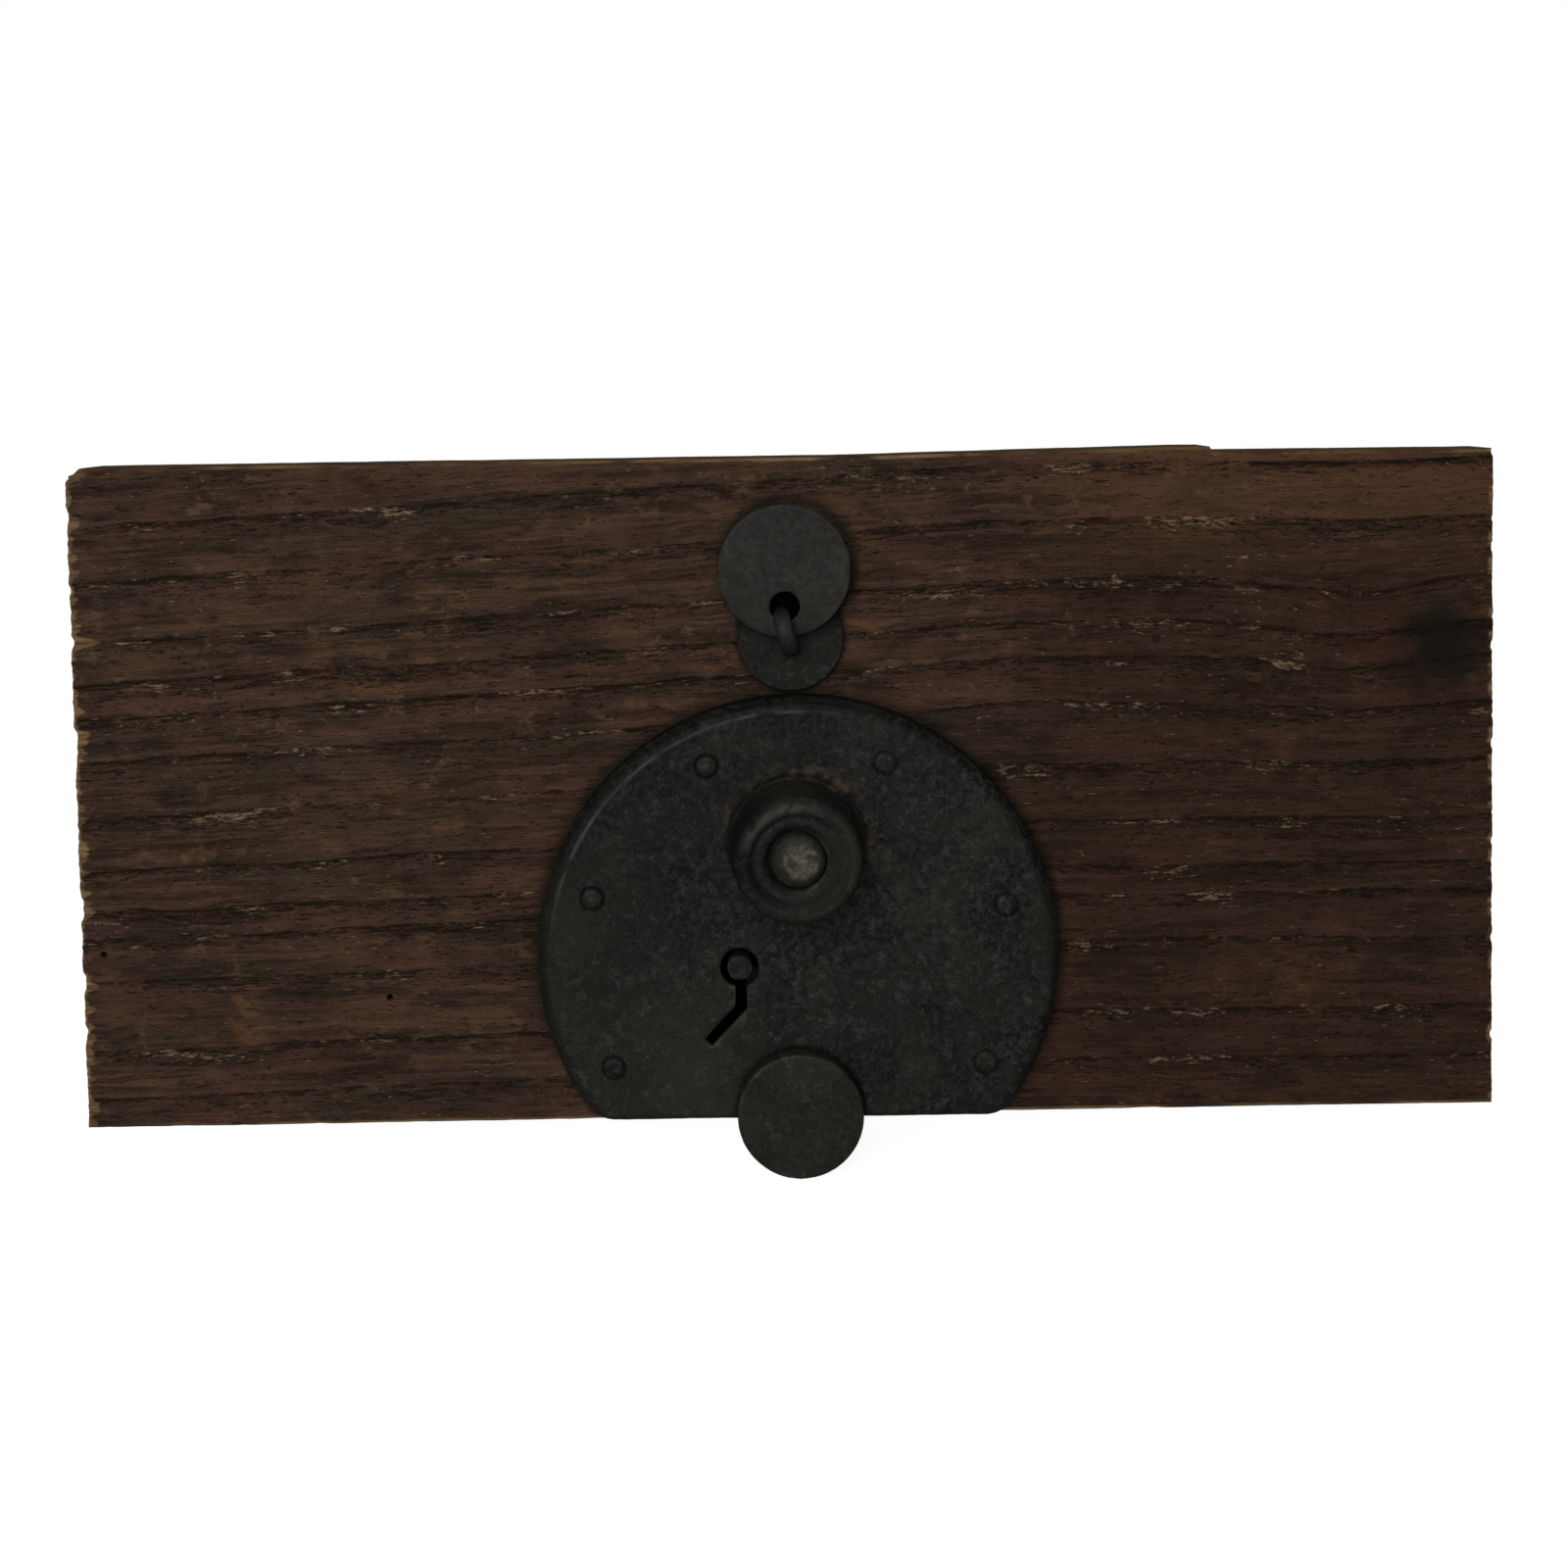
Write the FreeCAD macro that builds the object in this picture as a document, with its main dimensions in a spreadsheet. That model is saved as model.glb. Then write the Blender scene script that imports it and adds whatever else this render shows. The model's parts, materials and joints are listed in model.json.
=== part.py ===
"""Push-button drawer lock of old chest ironwork, on its wooden drawer front, with a flip-up disc pull.

Frame: millimetres, +Z up, +X right, the front looks along -Y. The origin is on the back face of the board,
straight behind the centre of the round lock plate. Depths are given as a distance in front of the back face.
"""

import FreeCAD, Part
import math
import os
import Sketcher

doc = FreeCAD.newDocument("DrawerLock")
sheet = doc.addObject("Spreadsheet::Sheet", "dims")
finished = []


class Size:
    """A number together with the sheet expression that gives it."""

    def __init__(self, value, text):
        self.value = float(value)
        self.text = text

    def __add__(self, other):
        other = as_size(other)
        return Size(self.value + other.value, f"({self.text} + {other.text})")

    def __sub__(self, other):
        other = as_size(other)
        return Size(self.value - other.value, f"({self.text} - {other.text})")

    def __mul__(self, other):
        other = as_size(other)
        return Size(self.value * other.value, f"({self.text} * {other.text})")

    def __truediv__(self, other):
        other = as_size(other)
        return Size(self.value / other.value, f"({self.text} / {other.text})")

    def __neg__(self):
        return Size(-self.value, f"(0 - {self.text})")


def as_size(number):
    return number if isinstance(number, Size) else Size(number, f"({float(number)})")


def cosine(angle):
    return Size(math.cos(math.radians(angle.value)), f"cos({angle.text})")


def sine(angle):
    return Size(math.sin(math.radians(angle.value)), f"sin({angle.text})")


def dimension(alias, value):
    """Puts one driving dimension in the sheet and returns it as a Size."""
    row = dimension.rows = getattr(dimension, "rows", 0) + 1
    sheet.set(f"A{row}", alias)
    sheet.set(f"B{row}", str(value))
    sheet.setAlias(f"B{row}", alias)
    return Size(value, f"dims.{alias}")


# ---------------------------------------------------------------- driving dimensions

board_width = dimension("board_width", 404.1)
board_left = dimension("board_left", 205.6)
board_height = dimension("board_height", 190.9)
board_thick = dimension("board_thick", 18)
plate_height = dimension("plate_height", 49.4)

plate_radius = dimension("plate_radius", 73.4)
plate_flat = dimension("plate_flat", 46)
plate_corner = dimension("plate_corner", 8)
plate_edge = dimension("plate_edge", 1.9)
case_depth = dimension("case_depth", 8.5)
case_wall = dimension("case_wall", 2)

nail_circle = dimension("nail_circle", 60.2)
nail_high = dimension("nail_high", 65.5)
nail_middle = dimension("nail_middle", 14)
nail_middle_left = dimension("nail_middle_left", 17.3)
nail_low = dimension("nail_low", 30)
nail_shank = dimension("nail_shank", 1.3)
nail_head = dimension("nail_head", 3)
nail_dome = dimension("nail_dome", 1.2)
nail_head_top = dimension("nail_head_top", 1.8)
nail_length = dimension("nail_length", 20.5)
static_gap = dimension("static_gap", 0.05)

boss_height = dimension("boss_height", 32.4)
boss_rise = dimension("boss_rise", 18)
boss_foot = dimension("boss_foot", 19.3)
boss_rim = dimension("boss_rim", 17.2)
boss_bead = dimension("boss_bead", 14.6)
boss_groove = dimension("boss_groove", 12.4)
boss_inner_bead = dimension("boss_inner_bead", 10.6)
boss_round = dimension("boss_round", 1)
boss_spigot = dimension("boss_spigot", 11)
washer_radius = dimension("washer_radius", 15)
washer_thick = dimension("washer_thick", 1.2)

button_radius = dimension("button_radius", 8)
button_worn = dimension("button_worn", 5.5)
button_sunk = dimension("button_sunk", 0.5)
button_shoulder = dimension("button_shoulder", 2)
button_flange = dimension("button_flange", 9.8)
button_stem = dimension("button_stem", 3)
button_stem_back = dimension("button_stem_back", 10)
running_gap = dimension("running_gap", 0.08)

wedge_slope = dimension("wedge_slope", 1.5)
wedge_width = dimension("wedge_width", 16)
wedge_front = dimension("wedge_front", 21.7)
wedge_back = dimension("wedge_back", 12)
wedge_drop = dimension("wedge_drop", 19)
wedge_top = dimension("wedge_top", 6)
wedge_gap = dimension("wedge_gap", 0.1)
pin_radius = dimension("pin_radius", 1.2)

bolt_half_width = dimension("bolt_half_width", 12)
bolt_back = dimension("bolt_back", 7)
bolt_thick = dimension("bolt_thick", 5)
bolt_top = dimension("bolt_top", 27.3)
bolt_inset = dimension("bolt_inset", 2.7)
bolt_chamfer = dimension("bolt_chamfer", 1.5)
notch_low = dimension("notch_low", 14)
notch_high = dimension("notch_high", 18.5)
notch_depth = dimension("notch_depth", 3)
lug_low = dimension("lug_low", 10.2)
lug_size = dimension("lug_size", 5)
lug_reach = dimension("lug_reach", 7)
ramp_front = dimension("ramp_front", 20)
ramp_low = dimension("ramp_low", 8.7)
rivet_radius = dimension("rivet_radius", 1.5)
ramp_rivet_spread = dimension("ramp_rivet_spread", 4.8)
ramp_rivet_rise = dimension("ramp_rivet_rise", 3.5)

guide_half_width = dimension("guide_half_width", 15)
guide_height = dimension("guide_height", 8)
guide_front = dimension("guide_front", 15)
guide_upper = dimension("guide_upper", 10.2)
guide_lower = dimension("guide_lower", 28.8)
slot_gap = dimension("slot_gap", 0.3)
guide_rivet_spread = dimension("guide_rivet_spread", 7.8)
guide_rivet_reach = dimension("guide_rivet_reach", 3.5)
seat_rivet_inset = dimension("seat_rivet_inset", 5)

mortise_left = dimension("mortise_left", 47)
mortise_right = dimension("mortise_right", 43)
mortise_low = dimension("mortise_low", 34.8)
mortise_high = dimension("mortise_high", 45.2)
back_thick = dimension("back_thick", 1.5)
back_margin = dimension("back_margin", 7.5)
back_nail_inset = dimension("back_nail_inset", 3.7)
back_nail_head = dimension("back_nail_head", 2.2)
back_nail_length = dimension("back_nail_length", 10)

key_left = dimension("key_left", 16.5)
key_below = dimension("key_below", 2.4)
key_hole = dimension("key_hole", 5.4)
key_post = dimension("key_post", 3.5)
key_tenon = dimension("key_tenon", 2)
key_stem_left = dimension("key_stem_left", 1.2)
key_stem_right = dimension("key_stem_right", 1.9)
key_knee = dimension("key_knee", 11.2)
key_leg_run = dimension("key_leg_run", 9)
key_leg_drop = dimension("key_leg_drop", 21.2)
key_leg_half = dimension("key_leg_half", 1.4)
key_leg_angle = dimension("key_leg_angle", 47)
key_stem_start = dimension("key_stem_start", 4.3)
key_knee_bend = dimension("key_knee_bend", 0.45)
ward_front_radius = dimension("ward_front_radius", 12)
ward_back_radius = dimension("ward_back_radius", 16.6)
ward_thick = dimension("ward_thick", 1.2)
ward_depth = dimension("ward_depth", 4)
ward_front_start = dimension("ward_front_start", -50)
ward_front_sweep = dimension("ward_front_sweep", 270)
ward_back_start = dimension("ward_back_start", 110)
ward_back_sweep = dimension("ward_back_sweep", 140)

lever_left = dimension("lever_left", 22)
lever_height = dimension("lever_height", 35.2)
lever_back = dimension("lever_back", 9)
lever_thick = dimension("lever_thick", 7)
lever_boss = dimension("lever_boss", 5)
lever_drop = dimension("lever_drop", 30)
lever_tooth = dimension("lever_tooth", 4)
tooth_gap = dimension("tooth_gap", 0.15)
lever_tail_left = dimension("lever_tail_left", 13)
lever_tail_width = dimension("lever_tail_width", 4)
lever_tail_rise = dimension("lever_tail_rise", 2)
pivot_radius = dimension("pivot_radius", 2)
pivot_front = dimension("pivot_front", 17)
anchor_left = dimension("anchor_left", 42)
anchor_height = dimension("anchor_height", 38)
leaf_thick = dimension("leaf_thick", 0.9)
leaf_width = dimension("leaf_width", 5)
leaf_bend = dimension("leaf_bend", 2)
leaf_rest_height = dimension("leaf_rest_height", 6)
leaf_rest_gap = dimension("leaf_rest_gap", 1.2)
seat_low = dimension("seat_low", 10.8)
seat_thick = dimension("seat_thick", 4)
seat_left = dimension("seat_left", 16.5)
seat_right = dimension("seat_right", 41)

guard_below = dimension("guard_below", 42.9)
guard_radius = dimension("guard_radius", 17.6)
guard_thick = dimension("guard_thick", 5)
guard_rivet_spread = dimension("guard_rivet_spread", 8)
guard_rivet_rise = dimension("guard_rivet_rise", 6)
guard_rivet_head = dimension("guard_rivet_head", 2.7)
guard_edge = dimension("guard_edge", 0.6)

pull_plate_left = dimension("pull_plate_left", 0.9)
pull_plate_height = dimension("pull_plate_height", 89.2)
pull_plate_radius = dimension("pull_plate_radius", 15)
pull_plate_thick = dimension("pull_plate_thick", 1.5)
eye_left = dimension("eye_left", 2)
eye_height = dimension("eye_height", 91.2)
eye_radius = dimension("eye_radius", 5.6)
eye_wire = dimension("eye_wire", 1.5)
eye_skew = dimension("eye_skew", 15)
eye_front = dimension("eye_front", 22.7)
eye_clinch = dimension("eye_clinch", 10)
disc_radius = dimension("disc_radius", 18.6)
disc_thick = dimension("disc_thick", 2.2)
disc_hole = dimension("disc_hole", 4.26)
disc_hole_offset = dimension("disc_hole_offset", 10.1)
disc_shift = dimension("disc_shift", 0.4)
disc_lift = dimension("disc_lift", 1)

old_hole_radius = dimension("old_hole_radius", 1)
old_hole_near_left = dimension("old_hole_near_left", 116.7)
old_hole_near_below = dimension("old_hole_near_below", 12.6)
old_hole_far_left = dimension("old_hole_far_left", 198)
old_hole_far_height = dimension("old_hole_far_height", 1)

doc.recompute()

# ---------------------------------------------------------------- places worked out from them

board_low = -plate_height
case_front = board_thick + case_depth
sheet_back = case_front - case_wall
boss_front = case_front + boss_rise
bolt_front = bolt_back + bolt_thick
bolt_tip = board_low + bolt_inset
key_x = -key_left
key_z = -key_below
lever_x = -lever_left
anchor_x = -anchor_left
eye_x = -eye_left
disc_rim_to_axis = (disc_radius - disc_hole_offset - disc_hole) / 2
disc_x = eye_x - disc_shift
disc_z = eye_height + disc_lift + disc_radius - disc_rim_to_axis


# ---------------------------------------------------------------- helpers


def bind(thing, prop, size):
    thing.setExpression(prop, as_size(size).text)


def place(thing, x, y, z):
    for axis, size in zip("xyz", (x, y, z)):
        bind(thing, f"Placement.Base.{axis}", size)


def finish(thing, label):
    """Marks an object as one finished piece of the lock."""
    thing.Label = label
    finished.append(thing)
    return thing


def block(name, left, right, back, front, low, high):
    """A box between two x, two depths in front of the back face, and two heights."""
    thing = doc.addObject("Part::Box", name)
    bind(thing, "Length", as_size(right) - left)
    bind(thing, "Width", as_size(front) - back)
    bind(thing, "Height", as_size(high) - low)
    place(thing, left, -as_size(front), low)
    return thing


def rod(name, radius, x, z, back, front):
    """A round bar that runs from a depth near the back face to one nearer the front."""
    thing = doc.addObject("Part::Cylinder", name)
    bind(thing, "Radius", radius)
    bind(thing, "Height", as_size(front) - back)
    thing.Placement.Rotation = FreeCAD.Rotation(FreeCAD.Vector(1, 0, 0), 90)
    place(thing, x, -as_size(back), z)
    return thing


def cone(name, wide, narrow, x, z, back, front):
    """A blunt cone with its wide end nearer the back face."""
    thing = doc.addObject("Part::Cone", name)
    bind(thing, "Radius1", wide)
    bind(thing, "Radius2", narrow)
    bind(thing, "Height", as_size(front) - back)
    thing.Placement.Rotation = FreeCAD.Rotation(FreeCAD.Vector(1, 0, 0), 90)
    place(thing, x, -as_size(back), z)
    return thing


def fuse(name, shapes):
    thing = doc.addObject("Part::MultiFuse", name)
    thing.Shapes = shapes
    return thing


def cut(name, base, tools):
    thing = doc.addObject("Part::Cut", name)
    thing.Base = base
    thing.Tool = tools[0] if len(tools) == 1 else fuse(f"{name}_tools", tools)
    return thing


def group(name, shapes):
    """Identical fasteners that share one node, as separate solids."""
    thing = doc.addObject("Part::Compound", name)
    thing.Links = shapes
    return thing


def new_body(name):
    return doc.addObject("PartDesign::Body", name)


def new_sketch(body, role="XZ_Plane", offset=0):
    """A sketch on one of the body's own planes, moved along the plane's normal."""
    sketch = body.newObject("Sketcher::SketchObject", f"{body.Name}_sketch")
    planes = [f for f in body.Origin.OriginFeatures if f.Role == role]
    sketch.AttachmentSupport = (planes[0], [""])
    sketch.MapMode = "FlatFace"
    bind(sketch, "AttachmentOffset.Base.z", offset)
    return sketch


def constrain(sketch, constraint, size):
    index = sketch.addConstraint(constraint)
    bind(sketch, f"Constraints[{index}]", size)


def fix_point(sketch, geometry, end, x, y):
    """Ties one point of a sketch to its two distances from the origin."""
    for kind, axis, size in (("DistanceX", -2, x), ("DistanceY", -1, y)):
        size = as_size(size)
        if abs(size.value) < 1e-9:
            sketch.addConstraint(Sketcher.Constraint("PointOnObject", geometry, end, axis))
        else:
            constraint = Sketcher.Constraint(kind, -1, 1, geometry, end, size.value)
            constrain(sketch, constraint, size)


def draw_polygon(sketch, points):
    points = [(as_size(x), as_size(y)) for x, y in points]
    corners = [FreeCAD.Vector(x.value, y.value, 0) for x, y in points]
    first = sketch.GeometryCount
    count = len(corners)
    for i, corner in enumerate(corners):
        sketch.addGeometry(Part.LineSegment(corner, corners[(i + 1) % count]))
    for i in range(count):
        after = first + (i + 1) % count
        sketch.addConstraint(Sketcher.Constraint("Coincident", first + i, 2, after, 1))
    for i, (x, y) in enumerate(points):
        fix_point(sketch, first + i, 1, x, y)


def draw_circle(sketch, x, y, radius):
    x, y, radius = as_size(x), as_size(y), as_size(radius)
    centre = FreeCAD.Vector(x.value, y.value, 0)
    ring = sketch.addGeometry(Part.Circle(centre, FreeCAD.Vector(0, 0, 1), radius.value))
    fix_point(sketch, ring, 3, x, y)
    constrain(sketch, Sketcher.Constraint("Radius", ring, radius.value), radius)


def draw_cut_circle(sketch, radius, flat):
    """A circle about the origin, closed below by a level line at -flat."""
    half = math.sqrt(radius.value**2 - flat.value**2)
    angle = math.asin(flat.value / radius.value)
    circle = Part.Circle(FreeCAD.Vector(0, 0, 0), FreeCAD.Vector(0, 0, 1), radius.value)
    arc = sketch.addGeometry(Part.ArcOfCircle(circle, -angle, math.pi + angle))
    left, right = (FreeCAD.Vector(side * half, -flat.value, 0) for side in (-1, 1))
    line = sketch.addGeometry(Part.LineSegment(left, right))
    sketch.addConstraint(Sketcher.Constraint("Coincident", arc, 3, -1, 1))
    sketch.addConstraint(Sketcher.Constraint("Coincident", arc, 2, line, 1))
    sketch.addConstraint(Sketcher.Constraint("Coincident", arc, 1, line, 2))
    sketch.addConstraint(Sketcher.Constraint("Horizontal", line))
    constrain(sketch, Sketcher.Constraint("Radius", arc, radius.value), radius)
    level = Sketcher.Constraint("DistanceY", -1, 1, line, 1, -flat.value)
    constrain(sketch, level, -flat)


def volume(body):
    doc.recompute()
    return body.Shape.Volume


def pad(body, sketch, length, middle=False):
    feature = body.newObject("PartDesign::Pad", f"{body.Name}_pad")
    feature.Profile = sketch
    bind(feature, "Length", length)
    feature.Midplane = middle
    doc.recompute()
    return feature


def pocket(body, sketch, length, forward=False, middle=False):
    """Cuts the sketch into the body, towards its back unless forward is set, and proves that it cut."""
    before = volume(body)
    feature = body.newObject("PartDesign::Pocket", f"{body.Name}_pocket")
    feature.Profile = sketch
    bind(feature, "Length", length)
    feature.Reversed = forward
    feature.Midplane = middle
    if not volume(body) < before - 0.01:
        raise RuntimeError(f"{feature.Name} cuts nothing")
    return feature


def revolve(body, sketch):
    """Turns a profile about the sketch's upright axis."""
    feature = body.newObject("PartDesign::Revolution", f"{body.Name}_turning")
    feature.Profile = sketch
    feature.ReferenceAxis = (sketch, ["V_Axis"])
    feature.Angle = 360
    doc.recompute()
    return feature


def dress(body, kind, wanted, prop, size):
    """Rounds or bevels the edges of the body's tip that pass the test wanted(edge)."""
    base = body.Tip
    edges = [f"Edge{i + 1}" for i, e in enumerate(base.Shape.Edges) if wanted(e)]
    feature = body.newObject(f"PartDesign::{kind}", f"{body.Name}_{kind.lower()}")
    feature.Base = (base, edges)
    bind(feature, prop, size)
    doc.recompute()
    return feature


def at_depth(edge, depth):
    """True for an edge that lies wholly at one depth in front of the back face."""
    box = edge.BoundBox
    return abs(box.YMin + depth.value) < 1e-4 and abs(box.YMax + depth.value) < 1e-4


def runs_deep(edge):
    """True for a straight edge that runs from front to back."""
    box = edge.BoundBox
    return box.XLength < 1e-4 and box.ZLength < 1e-4 and box.YLength > 1


def nail_places():
    """Centres of the six nails round the lock plate; the left middle one was driven a little high."""
    for side, middle in ((1, nail_middle), (-1, nail_middle_left)):
        for angle, above in ((nail_high, 1), (middle, 1), (nail_low, -1)):
            x = nail_circle * cosine(angle) * side
            z = nail_circle * sine(angle) * above
            yield x, z


def back_nail_places():
    for x in (back_left + back_nail_inset, back_right - back_nail_inset):
        for z in (back_low + back_nail_inset, back_high - back_nail_inset):
            yield x, z


def guide_rivet_places():
    """Two rivets behind each bolt guide and two behind the spring seat."""
    for z in (-guide_upper, -guide_lower):
        for side in (1, -1):
            yield guide_rivet_spread * side, z
    for x in (seat_left + seat_rivet_inset, seat_right - seat_rivet_inset):
        yield x, -seat_low + seat_thick / 2


back_left = -mortise_left - back_margin
back_right = mortise_right + back_margin
back_low = -mortise_low - back_margin
back_high = mortise_high + back_margin

# ---------------------------------------------------------------- eye of the pull


def elbow(name, wire, height, depth):
    ball = doc.addObject("Part::Sphere", name)
    bind(ball, "Radius", wire)
    place(ball, 0, -depth, height)
    return ball


def staple(name, wire, clinch_low, clinch_high, extra=()):
    """A staple with a half-round front and clinched legs, leaning by the skew about its own middle."""
    ring = doc.addObject("Part::Torus", f"{name}_ring")
    bind(ring, "Radius1", eye_radius)
    bind(ring, "Radius2", wire)
    ring.Angle3 = 180
    ring.Placement.Rotation = FreeCAD.Rotation(
        FreeCAD.Vector(0, 0, 1), FreeCAD.Vector(0, -1, 0), FreeCAD.Vector(1, 0, 0), "ZXY"
    )
    place(ring, 0, -eye_front, 0)
    pieces = [ring]
    for side in (1, -1):
        height = eye_radius * side
        pieces.append(rod(f"{name}_leg", wire, 0, height, clinch_low, eye_front))
        clinch = doc.addObject("Part::Cylinder", f"{name}_clinch")
        bind(clinch, "Radius", wire)
        bind(clinch, "Height", clinch_high)
        if side < 0:
            clinch.Placement.Rotation = FreeCAD.Rotation(FreeCAD.Vector(1, 0, 0), 180)
        place(clinch, 0, -clinch_low, height)
        pieces.append(clinch)
        pieces.append(elbow(f"{name}_elbow", wire, height, clinch_low))
    whole = fuse(name, pieces + list(extra))
    whole.Placement.Rotation = FreeCAD.Rotation(FreeCAD.Vector(0, -1, 0), eye_skew.value)
    bind(whole, "Placement.Rotation.Angle", eye_skew)
    place(whole, eye_x, 0, eye_height)
    return whole


clinch_depth = eye_wire + static_gap * 2
eye = finish(staple("eye", eye_wire, clinch_depth, eye_clinch), "pull_eye")

# ---------------------------------------------------------------- board

eye_room_half = eye_wire + static_gap
groove_reach = eye_radius + eye_clinch + 1
groove = block("groove", -eye_room_half, eye_room_half, -1, clinch_depth, -groove_reach, groove_reach)
eye_room = staple("eye_room", eye_room_half, clinch_depth, eye_clinch + 1, [groove])

timber = block("timber", -board_left, board_width - board_left, 0, board_thick, board_low,
               board_low + board_height)
slot_half = bolt_half_width + slot_gap
board_tools = [
    block("mortise", -mortise_left, mortise_right, 0, board_thick + 1, -mortise_low, mortise_high),
    block("rebate", back_left - static_gap, back_right + static_gap, -1, back_thick,
          back_low - static_gap, back_high + static_gap),
    block("bolt_slot", -slot_half, slot_half, bolt_back - slot_gap, bolt_front + slot_gap,
          board_low - 1, -mortise_low + 1),
    rod("old_hole_near", old_hole_radius, -old_hole_near_left, -old_hole_near_below, -1,
        board_thick + 1),
    rod("old_hole_far", old_hole_radius, -old_hole_far_left, old_hole_far_height, -1,
        board_thick + 1),
    eye_room,
]
nail_tip = case_front - nail_length
for nail_x, nail_z in nail_places():
    board_tools.append(rod("nail_bore", nail_shank, nail_x, nail_z, nail_tip, board_thick + 1))
for nail_x, nail_z in back_nail_places():
    board_tools.append(rod("back_nail_bore", pin_radius, nail_x, nail_z, -1, back_nail_length))
finish(cut("board_body", timber, board_tools), "board")

# ---------------------------------------------------------------- lock plate: a shallow iron pan

pan = new_body("pan")
outline = new_sketch(pan, offset=board_thick)
draw_cut_circle(outline, plate_radius, plate_flat)
pad(pan, outline, case_depth)
dress(pan, "Fillet", runs_deep, "Radius", plate_corner)
dress(pan, "Chamfer", lambda e: at_depth(e, case_front), "Size", plate_edge)
cavity = new_sketch(pan, offset=board_thick)
draw_cut_circle(cavity, plate_radius - case_wall, plate_flat - case_wall)
pocket(pan, cavity, case_depth - case_wall, forward=True)
holes = new_sketch(pan, offset=case_front)
draw_circle(holes, 0, boss_height, boss_spigot + static_gap)
for nail_x, nail_z in nail_places():
    draw_circle(holes, nail_x, nail_z, nail_shank + static_gap)
draw_circle(holes, key_x, key_z, key_hole)
guard_z = -guard_below
guard_rivet_z = guard_z + guard_rivet_rise
for side in (1, -1):
    draw_circle(holes, guard_rivet_spread * side, guard_rivet_z, rivet_radius + static_gap)
pocket(pan, holes, case_wall + 1)
leg_dx = key_leg_half * sine(key_leg_angle)
leg_dz = key_leg_half * cosine(key_leg_angle)
key_slot = new_sketch(pan, offset=case_front)
draw_polygon(key_slot, [
    (key_x - key_stem_left, key_z - key_stem_start),
    (key_x + key_stem_right, key_z - key_stem_start),
    (key_x + key_stem_right, key_z - key_knee - key_knee_bend),
    (key_x - key_leg_run + leg_dx, key_z - key_leg_drop - leg_dz),
    (key_x - key_leg_run - leg_dx, key_z - key_leg_drop + leg_dz),
    (key_x - key_stem_left, key_z - key_knee + key_knee_bend),
])
pocket(pan, key_slot, case_wall + 1)
finish(pan, "lock_plate")


def plate_nail(x, z):
    """A nail with a blunt domed head that stands on the lock plate."""
    return fuse("plate_nail", [
        rod("plate_nail_shank", nail_shank, x, z, nail_tip, case_front),
        cone("plate_nail_head", nail_head, nail_head_top, x, z, case_front, case_front + nail_dome),
    ])


finish(group("plate_nail_set", [plate_nail(x, z) for x, z in nail_places()]), "plate_nails")

# ---------------------------------------------------------------- boss collar and its washer


def turned(name, profile):
    """A turned piece on the button's axis; its profile lists radius and depth."""
    body = new_body(name)
    sketch = new_sketch(body, "XY_Plane", boss_height)
    draw_polygon(sketch, [(radius, -as_size(depth)) for radius, depth in profile])
    revolve(body, sketch)
    return body


washer_back = sheet_back - washer_thick
finish(turned("collar", [
    (button_radius + running_gap, washer_back),
    (boss_spigot, washer_back),
    (boss_spigot, case_front),
    (boss_foot, case_front),
    (boss_foot - boss_round * 0.6, case_front + boss_round * 1.4),
    (boss_rim + boss_round * 0.2, boss_front - boss_round * 3.4),
    (boss_rim, boss_front - boss_round * 1.8),
    (boss_rim - boss_round, boss_front - boss_round * 0.5),
    (boss_bead, boss_front),
    (boss_bead - boss_round * 1.5, boss_front - boss_round * 0.6),
    (boss_groove, boss_front - boss_round * 2),
    (boss_inner_bead + boss_round * 0.9, boss_front - boss_round * 1.8),
    (boss_inner_bead, boss_front - boss_round * 1.1),
    (boss_inner_bead - boss_round, boss_front - boss_round * 1.5),
    (button_radius + running_gap, boss_front - boss_round * 3),
]), "boss_collar")
finish(cut("washer_body", rod("washer_disc", washer_radius, 0, boss_height, washer_back, sheet_back), [
    rod("washer_hole", boss_spigot + static_gap, 0, boss_height, washer_back - 1, sheet_back + 1),
]), "collar_washer")

# ---------------------------------------------------------------- push button with its wedge

button_front = boss_front - button_sunk
button = turned("button", [
    (0, button_stem_back),
    (button_stem, button_stem_back),
    (button_stem, wedge_front),
    (button_flange, wedge_front),
    (button_flange, washer_back - static_gap * 2),
    (button_radius, washer_back - static_gap * 2),
    (button_radius, button_front - button_shoulder),
    (button_radius - button_sunk, button_front - button_shoulder / 2),
    (button_worn, button_front - button_sunk / 5),
    (0, button_front),
])
wedge_middle = (wedge_front + wedge_back) / 2
button_pin_hole = new_sketch(button, "YZ_Plane")
draw_circle(button_pin_hole, -wedge_middle, boss_height, pin_radius)
pocket(button, button_pin_hole, wedge_width + 2, middle=True)
finish(button, "push_button")

wedge_low = boss_height - wedge_drop
wedge = new_body("wedge")
wedge_side = new_sketch(wedge, "YZ_Plane")
draw_polygon(wedge_side, [
    (-wedge_front, wedge_low),
    (-wedge_back, wedge_low + (wedge_front - wedge_back) * wedge_slope),
    (-wedge_back, boss_height + wedge_top),
    (-wedge_front, boss_height + wedge_top),
])
pad(wedge, wedge_side, wedge_width, middle=True)
stem_bore = new_sketch(wedge, offset=wedge_front)
draw_circle(stem_bore, 0, boss_height, button_stem)
pocket(wedge, stem_bore, wedge_front - wedge_back + 1)
wedge_pin_hole = new_sketch(wedge, "YZ_Plane")
draw_circle(wedge_pin_hole, -wedge_middle, boss_height, pin_radius)
pocket(wedge, wedge_pin_hole, wedge_width + 2, middle=True)
finish(wedge, "button_wedge")

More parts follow.
